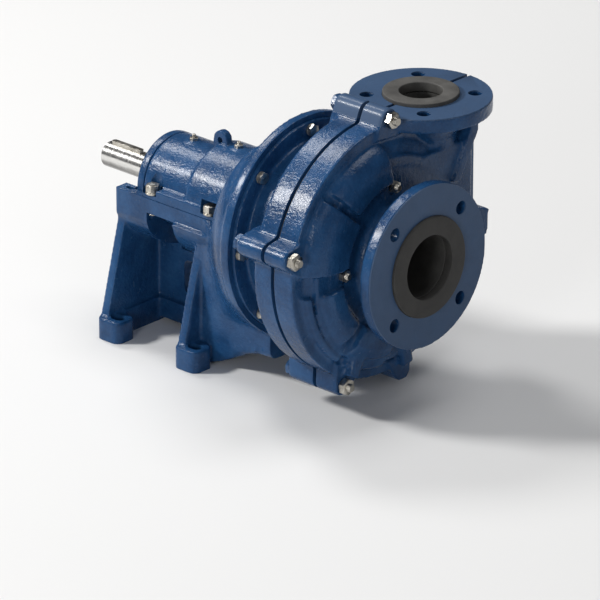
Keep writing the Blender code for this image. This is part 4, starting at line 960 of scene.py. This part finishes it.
def shaftPieces():
    start, end, radius = take(shaftLine, "start end coupling")
    driveSeat, pumpSeat, sleeveSeat, impellerSeat = shaftLine["seats"]
    driveStart, driveEnd = cartridge["start"] + 0.0048, cartridge["start"] + 0.0268
    pumpStart, pumpEnd = cartridge["end"] - 0.0335, cartridge["end"] - 0.0095
    labyrinthEnd, impellerStart = span("pump_labyrinth")[1], impeller["start"]
    outline = [
        (start + 0.004, 0.0), (start, 0.0035), (start, radius - 0.0014), (start + 0.0014, radius),
        (driveStart - 0.004, radius), (driveStart - 0.004, driveSeat),
        (driveEnd + clearance, driveSeat), (driveEnd + clearance, 0.021),
        (pumpStart - clearance, 0.025), (pumpStart - clearance, pumpSeat),
        (pumpEnd + clearance, pumpSeat), (pumpEnd + clearance, 0.018), (labyrinthEnd, 0.018),
        (labyrinthEnd, sleeveSeat), (impellerStart - clearance, sleeveSeat),
        (impellerStart - clearance, impellerSeat), (end - 0.001, impellerSeat), (end, 0.011),
        (end, 0.0),
    ]
    made = solid("shaft", [turned(outline, plainSides, 0.0003)])
    width, height, length = shaftLine["key"]
    keyStart, keyLow = start + shaftLine["keyInset"], radius - height / 2 - 0.0005
    slot = rounded((keyStart, -width / 2), (keyStart + length, width / 2), width / 2 - 0.0001, 8)
    cut(made, prism(slot, keyLow, radius + 0.01, "Z"))
    fitted(made, "shaft_steel", "shaft")
    low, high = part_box("shaft_key")
    body = rounded((low[0], low[1]), (high[0], high[1]), (high[1] - low[1]) / 2 - 0.0001, 8)
    made = solid("shaftKey", [prism(body, low[2], high[2], "Z")], lift=False)
    fitted(bevelled(made, 0.0004), "plated_steel", "shaft_key")
    sleeve = ring(*span("shaft_sleeve"), *shaftLine["sleeve"], plainSides, ease=0.0005)
    piece("shaft_steel", "shaft_sleeve", sleeve)


def labyrinths():
    low, high = span("drive_labyrinth")
    outside, bore = 0.0215, shaftLine["coupling"] + clearance
    outline = [
        (low, bore), (low, outside + 0.001), (low + 0.0007, outside + 0.0027),
        (low + 0.0025, outside + 0.0027), (low + 0.0025, outside), (high, outside), (high, bore),
    ]
    piece("plated_steel", "drive_labyrinth", turned(outline, plainSides, 0.0005))
    low, high = span("pump_labyrinth")
    outside, bore, face = 0.0285, 0.0183, cartridge["end"] + covers["thick"]
    outline = [
        (low, bore), (low, outside), (face + 0.0015, outside), (face + 0.0015, outside + 0.0045),
        (face + 0.006, outside + 0.0045), (face + 0.009, outside - 0.004), (high, outside - 0.004),
        (high, bore),
    ]
    piece("plated_steel", "pump_labyrinth", turned(outline, plainSides, 0.0008))


impeller = {
    "start": span("impeller")[0],
    "end": span("impeller")[1],
    "radius": 0.087,
    "shroud": 0.0065,
    "outlet": 0.027,
    "eye": 0.036,
    "hub": 0.0225,
    "hubStep": 0.0035,
    "bore": (0.0215, 0.0123),
    "vanes": 5,
    "vaneWall": 0.006,
    "vaneSweep": 80,
}


def vaneForm(turn):
    # One backward curved vane, a spiral thickened on both sides
    inner, outer = impeller["eye"] * 0.78, impeller["radius"] - 0.0006
    start = impeller["start"] + impeller["hubStep"] + impeller["shroud"]
    pressure, suction = [], []
    for share in (i / 24 for i in range(25)):
        reach = inner + (outer - inner) * share
        angle = turn - impeller["vaneSweep"] * share
        fullness = 0.55 + 0.45 * sin(pi * min(1.0, share + 0.25))
        skew = degrees(impeller["vaneWall"] / 2 * fullness / reach)
        pressure.append(onCircle(reach, angle + skew))
        suction.append(onCircle(reach, angle - skew))
    return prism(pressure + suction[::-1], start - 0.001, start + impeller["outlet"] + 0.001)


def impellerCasting():
    start, end, rim, eye, hub = take(impeller, "start end radius eye hub")
    back = start + impeller["hubStep"]
    vaneStart = back + impeller["shroud"]
    vaneEnd = vaneStart + impeller["outlet"]
    front = vaneEnd + impeller["shroud"]
    depth, bore = impeller["bore"]
    outline = [
        (start, 0.0), (start, hub), (back, hub), (back, rim), (vaneStart, rim),
        (vaneStart + 0.002, hub + 0.010), (vaneStart + 0.008, hub - 0.002),
        (vaneStart + 0.015, hub - 0.009), (vaneStart + 0.0185, 0.004), (vaneStart + 0.0190, 0.0),
    ]
    forms = [turned(outline, fineSides)]
    forms += [vaneForm(i * 360 / impeller["vanes"]) for i in range(impeller["vanes"])]
    outline = [
        (vaneEnd, rim), (front, rim), (front + 0.001, eye + 0.0135), (front + 0.004, eye + 0.0075),
        (end, eye + 0.0075), (end, eye), (front - 0.001, eye), (vaneEnd, eye + 0.004),
    ]
    forms.append(turned(outline, fineSides))
    made = cast(solid("impeller", forms), 0.0013, 3, 0.22)
    cut(
        made,
        disc(start - margin, start + depth, bore, 48),
        ring(start, end, rim - 0.0001, rim + margin, fineSides),
        slab(start - 0.02, start, 0.1),
        slab(end, end + 0.02, 0.1),
    )
    fitted(made, "wear_iron", "impeller")


# Casing and its liners

casing = {
    "radius": 0.1477,
    "side": 0.150,
    "neckTop": 0.137,
    "frameRim": 0.026,
    "coverRim": 0.027,
    "wall": 0.010,
    "voluteWall": 0.0063,
    "liner": 0.0095,
    "chamber": 0.050,
    "tongue": 0.096,
    "throat": 0.118,
    "plateStart": 0.1578,
    "plateFlange": (0.008, 0.1235),
    "drum": 0.104,
    "flare": 0.196,
    "lugCircle": 0.1555,
    "lugRadius": 0.0125,
    "lugs": (88.0, 167.0, 244.0, 281.0, 355.0),
    "nutted": 3,
    "lugStart": 0.207,
    "lugEnd": 0.279,
    "lugHole": 0.0053,
    "boltSeat": 0.0092,
    "squareLug": (0.1725, 0.022, 0.015),
    "linerTop": 0.100,
    "boxBore": (0.0142, 0.0593),
    "glandBore": 0.0503,
}
outlet = {
    "face": 0.152,
    "flange": 0.017,
    "radius": 0.0801,
    "bore": 0.0245,
    "joint": 0.0432,
    "seat": 0.0075,
    "circle": 0.060325,
    "neck": 0.041,
}
flangeHoles, flangeHole = (45, 135, 225, 315), 0.008
suction = {
    "face": 0.342,
    "flange": 0.015,
    "radius": 0.09525,
    "bore": 0.037,
    "joint": 0.0585,
    "seat": 0.0075,
    "circle": 0.0762,
    "neck": 0.058,
    "belt": 0.297,
    "bush": 0.013,
    "studs": 0.081,
    "studAngles": (0, 90, 180, 270),
    "studSeat": 0.2892,
    "studHole": 0.0043,
    "nutSeat": 0.0098,
}


def spiralOutline(offset, top, steps=72):
    # The volute in (y, z), moved outwards: a spiral that opens into an upright throat
    tight, wide = take(casing, "tongue throat")
    throat = wide + offset
    tongue = 2 * outletY - throat
    start = degrees(acos(tongue / (tight + offset)))
    points = []
    for angle in (start + (360 - start) * i / steps for i in range(steps + 1)):
        points.append(onCircle(tight + (wide - tight) * ((angle - 45) / 315) + offset, angle))
    return points + [(throat, top), (points[0][0], top)]


def caseOutline(inset=0.0, steps=90):
    # A circle with a straight side up to the discharge flange
    reach, top = casing["radius"] - inset, casing["neckTop"]
    start = degrees(acos(sqrt(reach * reach - top * top) / reach))
    side = casing["side"] - inset
    return arc((0.0, 0.0), reach, start, 360, steps) + [(side, 0.012), (side, top)]


def lugForm(angle, low, high):
    # The last lug, beside the neck, is squarish
    radius, rim = casing["lugRadius"] - 0.0002, casing["radius"]
    root = rim - 0.014
    if angle == casing["lugs"][-1]:
        end, wide, narrow = casing["squareLug"]
        points = [(root, -wide), (end, -narrow), (end, narrow), (root, wide)]
    else:
        points = [(root, -radius * 1.75), (rim + 0.001, -radius * 1.30)]
        points += arc((casing["lugCircle"], 0.0), radius, -70, 70, 14)
        points += [(rim + 0.001, radius * 1.30), (root, radius * 1.75)]
    return swung(prism(points, low, high), angle)


def neckForm():
    low, face, radius, neck = 0.060, outlet["face"], outlet["radius"], outlet["neck"]
    flange = face - outlet["flange"]
    outline = [
        (low, 0.0), (low, neck), (flange - 0.026, neck), (flange - 0.008, 0.052),
        (flange, radius - 0.006), (flange, radius), (face + 0.001, radius), (face + 0.001, 0.0),
    ]
    return stood(turned(outline, plainSides), splitX, outletY)


def outletCuts():
    face = outlet["face"]
    over, under = face + margin, face - outlet["flange"] - 0.012
    forms = [
        upright(splitX, outletY, 0.070, over, outlet["bore"] + casing["liner"] + clearance, 72),
        upright(splitX, outletY, face - outlet["seat"], over, outlet["joint"] + clearance, 72),
        upright(splitX, outletY, face, face + 0.02, outlet["radius"] + 0.002, plainSides),
    ]
    for x, y in (onCircle(outlet["circle"], angle) for angle in flangeHoles):
        forms.append(upright(splitX + x, outletY + y, under, over, flangeHole, 40))
    return forms


def lugHoles(low, ends, radius, sides=24):
    places = [onCircle(casing["lugCircle"], angle) for angle in casing["lugs"]]
    return [along(*place, low, end, radius, sides) for place, end in zip(places, ends)]


def volute(offset, low, high, top=casing["linerTop"]):
    return prism(spiralOutline(offset, top), low, high)


def framePlate():
    rimStart, end = seam["rear"] - casing["frameRim"], seam["rear"]
    start, (flange, flangeRadius) = casing["plateStart"], casing["plateFlange"]
    drum, flare = take(casing, "drum flare")
    dish = [
        (start, 0.040), (start, flangeRadius), (start + flange, flangeRadius),
        (start + flange, drum), (flare, drum), (flare + 0.012, drum + 0.018),
        (rimStart + 0.001, casing["radius"] - 0.009), (rimStart + 0.001, 0.040),
    ]
    forms = [prism(caseOutline(), rimStart, end + 0.003), turned(dish, fineSides), neckForm()]
    forms += [lugForm(angle, casing["lugStart"], end + 0.003) for angle in casing["lugs"]]
    liner, skin, wall = take(casing, "liner voluteWall wall")
    cavity = splitX - casing["chamber"] / 2 - liner - clearance
    forms.append(volute(liner + skin, cavity - skin, rimStart + 0.004))
    made = cast(solid("framePlate", forms))
    wallStart = cavity - wall
    relief = [
        (start - margin, 0.069), (start - margin, drum - wall), (wallStart, drum - wall),
        (wallStart, 0.066), (start + 0.012, 0.066), (start + 0.012, 0.069),
    ]
    boxDepth, boxBore = casing["boxBore"]
    cuts = [
        slab(end, 0.5),
        slab(0.1, start),
        turned(relief, plainSides),
        volute(liner + clearance, cavity, 0.3),
        disc(start - 0.02, splitX, casing["glandBore"], plainSides),
        disc(start - 0.02, start + boxDepth, boxBore, plainSides),
        *outletCuts(),
    ]
    seat = start + flange
    for place in (onCircle(pedestal["boltCircle"], angle) for angle in pedestal["boltAngles"]):
        cuts.append(along(*place, start - margin, seat + 0.001, pedestal["boltHole"], 20))
        cuts.append(along(*place, seat, seat + 0.006, casing["boltSeat"], 32))
    cuts += lugHoles(casing["lugStart"] - margin, [0.3] * len(casing["lugs"]), casing["lugHole"])
    cut(made, *cuts)
    fitted(made, "blue_paint", "frame_plate", coverPaint)


# Start and end angle, inner and outer radius
pads = (
    (138, 176, 0.076, 0.136),
    (188, 226, 0.084, 0.119),
    (234, 268, 0.084, 0.122),
    (290, 345, 0.084, 0.124),
    (94, 133, 0.086, 0.131),
)
bands = ((187, 232, 0.125, 0.137), (238, 266, 0.126, 0.137))
# Pads wider than this are domed right out to the rim
domedFrom = 0.042


def padForm(start, end, low, high):
    # One raised length of the belt round the front of the cover
    belt = suction["belt"]
    outline = [(belt - 0.030, low), (belt - 0.003, low), (belt + 0.001, low + 0.004)]
    if high - low > domedFrom:
        drop, reach = 0.023, high - low - 0.012
        for x, r in (onCircle(1.0, 90 * i / 8) for i in range(9)):
            outline.append((belt - drop + drop * x, low + 0.012 + reach * r))
    else:
        outline += [(belt, high - 0.014), (belt - 0.005, high - 0.003), (belt - 0.011, high)]
    outline.append((belt - 0.030, high))
    return turned(outline, 30, 0.0, start, end - start)


def bandForm(start, end, low, high):
    # A low raised strip that runs round outside a pad
    rim = seam["front"] + casing["coverRim"]
    outline = [
        (rim - 0.006, low), (rim + 0.009, low + 0.001), (rim + 0.011, low + 0.004),
        (rim + 0.008, high - 0.003), (rim - 0.006, high),
    ]
    return turned(outline, 24, 0.0, start, end - start)


def neckRib():
    # The slanting rib from under the outlet flange down the far side of the neck
    outline = [(0.096, 0.058), (0.108, 0.056), (0.137, 0.108)]
    outline += [(0.137, 0.140), (0.124, 0.140), (0.124, 0.112)]
    return prism(outline, seam["front"] + 0.010, splitX + 0.047)


def ribForm(angle, reach, width):
    # A rib from the suction neck towards a lug
    low = (seam["front"] + 0.012, suction["neck"] - 0.01, -width / 2)
    return swung(block(low, (suction["belt"] - 0.006, reach, width / 2)), angle)


def coverPlate():
    start, rimEnd = seam["front"], seam["front"] + casing["coverRim"]
    face, radius, neck, belt = take(suction, "face radius neck belt")
    back = face - suction["flange"]
    front = [
        (rimEnd - 0.004, 0.0), (rimEnd - 0.004, casing["radius"] - 0.012),
        (rimEnd + 0.004, casing["radius"] - 0.024), (belt - 0.008, suction["studs"] + 0.018),
        (belt - 0.006, neck + 0.006), (belt, neck), (back - 0.006, neck), (back, neck + 0.006),
        (back, radius), (face + 0.001, radius), (face + 0.001, 0.0),
    ]
    forms = [prism(caseOutline(), start - 0.003, rimEnd), turned(front, fineSides), neckForm()]
    forms += [padForm(*pad) for pad in pads]
    forms += [lugForm(angle, start - 0.003, casing["lugEnd"]) for angle in casing["lugs"]]
    forms += [ribForm(casing["lugs"][i], casing["lugCircle"] - 0.012, 0.016) for i in (2, 3)]
    forms += [bandForm(*band) for band in bands] + [neckRib()]
    liner, skin, over = casing["liner"], casing["voluteWall"], face + margin
    cavity = splitX + casing["chamber"] / 2 + liner + clearance
    forms.append(volute(liner + skin, rimEnd - 0.004, cavity + skin))
    made = cast(solid("coverPlate", forms))
    cuts = [
        slab(0.1, start),
        slab(face, 0.5),
        volute(liner + clearance, 0.2, cavity),
        disc(0.2, over, suction["bore"] + suction["bush"] + clearance, plainSides),
        disc(face - suction["seat"], over, suction["joint"] + clearance, plainSides),
        *outletCuts(),
    ]
    for hole, stud in zip(flangeHoles, suction["studAngles"]):
        cuts.append(along(*onCircle(suction["circle"], hole), back - 0.02, over, flangeHole, 40))
        place = onCircle(suction["studs"], stud)
        cuts.append(along(*place, 0.25, back - 0.002, suction["studHole"], 20))
        cuts.append(along(*place, suction["studSeat"], back - 0.002, suction["nutSeat"], 32))
    through, blind = casing["lugEnd"] + margin, casing["lugEnd"] - 0.008
    ends = [through if i < casing["nutted"] else blind for i in range(len(casing["lugs"]))]
    cuts += lugHoles(0.2, ends, casing["lugHole"])
    slot = rounded((casing["side"] - 0.014, 0.068), (casing["side"] - 0.007, 0.094), 0.003)
    cuts.append(prism(slot, start - margin, rimEnd + 0.002))
    cut(made, *cuts)
    fitted(made, "blue_paint", "cover_plate", coverPaint)


def linerHalf(node, facing):
    # Volute wall, side wall, half the throat and a lip in the seam, before or behind the split
    thick, bore, past = casing["liner"], outlet["bore"], 0.02
    chamber = splitX + facing * casing["chamber"] / 2
    low, high = sorted((splitX, chamber + facing * thick))
    made = solid(node.replace("_", "") + "Skin", [volute(thick, low, high)])
    tubeTop = outlet["face"] - outlet["seat"] - clearance
    low, high = sorted((splitX, splitX + facing * (seam["front"] - splitX - clearance)))
    tube = upright(splitX, outletY, 0.072, tubeTop, bore + thick, 72)
    joined(made, tube, prism(caseOutline(0.0045), low, high))
    low, high = sorted((chamber, splitX - facing * past))
    hole = suction["bore"] + suction["bush"] + clearance if facing > 0 else casing["glandBore"]
    cuts = [
        slab(*sorted((splitX - facing * 0.2, splitX + facing * 0.00015))),
        volute(0.0, low, high, 0.096),
        upright(splitX, outletY, 0.060, outlet["face"] + 0.02, bore, 72),
        disc(splitX - 0.1, splitX + 0.1, hole, plainSides),
        *lugHoles(splitX - past, [splitX + past] * len(casing["lugs"]), 0.006, 20),
    ]
    cut(made, *cuts, solver="EXACT")
    fitted(made, "liner_rubber", node)


def rubberRings():
    bore, joint = take(suction, "bore joint")
    wall = bore + suction["bush"]
    low, high = span("throatbush")
    bush = [(low, bore), (low, wall), (high, wall), (high, bore), (low + 0.010, bore)]
    piece("liner_rubber", "throatbush", turned(bush, plainSides, 0.001), material=shadedFaceRubber)
    intake = ring(*span("intake_joint"), bore, joint, fineSides, 0.0014)
    low, high = heights("discharge_joint")
    discharge = ring(low, high - 0.0001, outlet["bore"], outlet["joint"], fineSides, 0.0014)
    piece("liner_rubber", "intake_joint", intake, material=shadedFaceRubber)
    piece("liner_rubber", "discharge_joint", stood(discharge, splitX, outletY))


# Gland and stuffing box

gland = {
    "start": span("gland")[0],
    "end": span("gland")[1],
    "flange": 0.010,
    "outer": 0.0317,
    "bore": 0.0232,
    "studY": 0.044,
    "studHole": 0.0043,
    "ear": 0.010,
}


def studHoles(low, high, sides=20):
    return (along(side * gland["studY"], 0.0, low, high, gland["studHole"], sides) for side in (-1, 1))


def stuffingBox():
    low, high = span("stuffing_box")
    packed, bore, packingStart = 0.032, 0.0235, 0.2065
    outline = [
        (low, packed), (low, 0.059), (low + 0.008, 0.059), (low + 0.008, 0.050), (high, 0.050),
        (high, bore), (packingStart, bore), (packingStart, packed),
    ]
    made = solid("stuffingBox", [turned(outline, plainSides, 0.001)])
    cut(made, *studHoles(low - margin, low + 0.0163))
    fitted(made, "blue_paint", "stuffing_box")


def glandFollower():
    start, end, outer, ear, radius = take(gland, "start end outer studY ear")
    body = outer + 0.006
    outline = arc((ear, 0.0), radius, -70, 70, 12) + arc((0.0, 0.0), body, 45, 135, 16)
    outline += arc((-ear, 0.0), radius, 110, 250, 12) + arc((0.0, 0.0), body, 225, 315, 16)
    made = solid("gland", [prism(outline, start, start + gland["flange"])])
    joined(made, disc(start + 0.001, end, outer, plainSides))
    cut(made, disc(start - margin, end + margin, gland["bore"], plainSides))
    cut(made, *studHoles(start - margin, end))
    fitted(bevelled(made, 0.0007, 50), "blue_paint", "gland")


# Bolts, nuts and screws

fasteners = {
    # width across flats, thread radius, height over the seat
    "cover_bolt": (0.017, 0.005, 0.008),
    "frame_plate_bolt": (0.013, 0.004, 0.006),
    "liner_stud_nut": (0.013, 0.004, 0.010),
    "gland_stud": (0.013, 0.004, 0.0),
    "clamp_bolt": (0.0142, 0.005, 0.011),
    "adjusting_screw": (0.019, 0.006, 0.0075),
}
finePitch, clampPitch = 0.00125, 0.0015


def boltForms(node, kind, headAtEnd=False):
    # A hexagon bolt along X, as long as its node, with its washer
    flats, radius, height = fasteners[kind]
    low, high = span(node)
    facing, headEnd, shankEnd = (1, high, low) if headAtEnd else (-1, low, high)
    seat = headEnd - facing * height
    head, washer, thread = (
        sorted(ends)
        for ends in (
            (seat + facing * 0.0012, headEnd),
            (seat, seat + facing * 0.0013),
            (seat + facing * 0.0006, shankEnd),
        )
    )
    return [
        hexForm(flats, *head, (facing < 0, facing > 0)),
        disc(*washer, flats * 0.56, 48),
        threadForm(radius, *thread, radius * 0.32),
    ]


def bolted(node, forms, y, z, angle=0.0, material=None):
    # A fastener along X at its place
    placed = (shifted(swung(form, angle), (0, y, z)) for form in forms)
    piece("plated_steel", node, *placed, material=material)


def caseFasteners():
    flats = fasteners["cover_bolt"][0]
    for i, angle in enumerate(casing["lugs"], 1):
        place = onCircle(casing["lugCircle"], angle)
        node = f"cover_bolt_{i}"
        bolted(node, boltForms(node, "cover_bolt"), *place, angle, coverBolt)
        if i <= casing["nutted"]:
            node = f"cover_nut_{i}"
            low, high = span(node)
            nut = [hexForm(flats, low + 0.001, high), disc(low, low + 0.0015, 0.0082, 48)]
            bolted(node, nut, *place, angle)
    for i, angle in enumerate(pedestal["boltAngles"], 1):
        node = f"frame_plate_bolt_{i}"
        forms = boltForms(node, "frame_plate_bolt", True)
        bolted(node, forms, *onCircle(pedestal["boltCircle"], angle))
    flats, radius, height = fasteners["liner_stud_nut"]
    for i, angle in enumerate(suction["studAngles"], 1):
        node = f"liner_stud_nut_{i}"
        low, high = span(node)
        seat = high - height
        forms = [threadForm(radius, low, high, finePitch), hexForm(flats, seat, seat + 0.006)]
        bolted(node, forms, *onCircle(suction["studs"], angle))


def glandFasteners():
    flats, radius, _ = fasteners["gland_stud"]
    for i, y in enumerate((-gland["studY"], gland["studY"]), 1):
        stud = threadForm(radius, *span(f"gland_stud_{i}"), finePitch)
        bolted(f"gland_stud_{i}", [stud], y, 0)
        low, high = span(f"gland_nut_{i}")
        made = solid(f"glandNut{i}", [shifted(hexForm(flats, low, high, (True, False)), (0, y, 0))])
        cut(made, along(y, 0.0, low - margin, high + margin, gland["studHole"], 24))
        fitted(made, "plated_steel", f"gland_nut_{i}")


def clampBolts():
    flats, radius, height = fasteners["clamp_bolt"]
    for i, (x, y) in enumerate(clampPlaces, 1):
        node = f"clamp_bolt_{i}"
        low, high = heights(node)
        seat = high - height
        forms = [
            threadForm(radius, low, seat + 0.001, clampPitch),
            washerForm(seat, seat + 0.0022, 0.0083),
            washerForm(seat + 0.0020, seat + 0.0034, 0.0072),
            hexForm(flats, seat + 0.0032, high),
        ]
        piece("plated_steel", node, *(stood(form, x, y) for form in forms))


def adjustingScrew():
    drop = -cartridge["adjusterDrop"]
    bolted("adjusting_screw", boltForms("adjusting_screw", "adjusting_screw"), 0, drop)
    low, high = span("adjusting_lock_nut")
    nut = hexForm(fasteners["adjusting_screw"][0], low, high, (True, True))
    made = solid("adjustingLockNut", [shifted(nut, (0, 0, drop))])
    cut(made, along(0.0, drop, low - margin, high + margin, pedestal["screwHole"], 32))
    fitted(made, "plated_steel", "adjusting_lock_nut")


pedestalCasting()
housingCasting()
endCovers()
greaseNipples()
print("pedestal and bearing cartridge made")
shaftPieces()
labyrinths()
impellerCasting()
print("rotor made")
framePlate()
coverPlate()
linerHalf("frame_plate_liner", -1)
linerHalf("cover_plate_liner", 1)
rubberRings()
stuffingBox()
glandFollower()
print("casing made")
glandFasteners()
caseFasteners()
clampBolts()
adjustingScrew()
print("fasteners made")

# Hidden pieces that keep their own mesh get a finish by a word in their name
kept = {"_bearing_": "bearing_steel", "packing_ring": "packing_rope", "lantern": "lantern_brass"}
for node, shape in frame["nodes"].items():
    for word, finish in kept.items():
        for slot in shape.material_slots if word in node else ():
            slot.material = finishes[finish]


# Stage, light and camera

stage = {
    "floor": (0.78, 0.78, 0.78),
    "roughness": 0.65,
    "size": 14.0,
    "sky": (0.93, 0.95, 1.0, 1.0),
    "skyPower": 0.10,
}
view = {
    "azimuth": 43.0,
    "elevation": 23.2,
    "distance": 7.3,
    "lens": 390.0,
    "aimUp": 0.0990,
    "aimRight": 0.0345,
}
lampDistance = 5.2
lamps = {
    # direction from the object, size, power, colour
    "key": ((-0.60, -0.56, 0.58), 0.95, 225.0, (1.0, 0.99, 0.97)),
    "back": ((-0.63, 0.10, 0.77), 1.4, 95.0, (1.0, 0.99, 0.97)),
    "left": ((0.35, -0.90, 0.25), 1.1, 58.0, (0.98, 0.99, 1.0)),
    "front": ((0.85, -0.45, 0.60), 2.4, 22.0, (0.97, 0.98, 1.0)),
    "top": ((0.10, 0.30, 1.0), 3.0, 88.0, (1.0, 1.0, 1.0)),
}


def setStage():
    form = bmesh.new()
    bmesh.ops.create_grid(form, x_segments=2, y_segments=2, size=stage["size"] / 2)
    floor = shown("floor", form)
    finish = Finish("paleFloor", roughness=stage["roughness"], Specular_IOR_Level=0.2)
    cloud = finish.noise(0.6, 3.0, 0.5)
    low, high = (tuple(level * share for level in stage["floor"]) for share in (0.985, 1.0))
    finish.feed("Base Color", finish.mix(cloud, (*low, 1.0), (*high, 1.0)))
    floor.data.materials.append(finish.material)
    world = bpy.data.worlds.new("studio")
    world.use_nodes = True
    background = world.node_tree.nodes["Background"]
    background.inputs["Color"].default_value = stage["sky"]
    background.inputs["Strength"].default_value = stage["skyPower"]
    bpy.context.scene.world = world


def setLamps(centre):
    for name, (direction, size, power, colour) in lamps.items():
        data = bpy.data.lights.new(name, "AREA")
        data.shape, data.size, data.energy, data.color = "DISK", size, power, colour
        lamp = linked(name, data)
        away = Vector(direction).normalized()
        lamp.location = centre + away * lampDistance
        lamp.rotation_euler = away.to_track_quat("Z", "Y").to_euler()


def setCamera(centre):
    azimuth, elevation = radians(view["azimuth"]), radians(view["elevation"])
    away = Vector((sin(azimuth) * cos(elevation), -cos(azimuth) * cos(elevation), sin(elevation)))
    turn = away.to_track_quat("Z", "Y")
    right, up = turn @ Vector((1, 0, 0)), turn @ Vector((0, 1, 0))
    data = bpy.data.cameras.new("camera")
    data.lens, data.sensor_width, data.clip_end = view["lens"], 36.0, 40.0
    camera = linked("camera", data)
    aim = centre - up * view["aimUp"] + right * view["aimRight"]
    camera.location = aim + away * view["distance"]
    camera.rotation_euler = turn.to_euler()
    bpy.context.scene.camera = camera


lowest, highest = (Vector(corner) for corner in cadBox)
centre = (lowest + highest) / 2
bpy.context.scene.view_settings.view_transform = "Standard"
setStage()
setLamps(centre)
setCamera(centre)
print("stage, lamps and camera set")
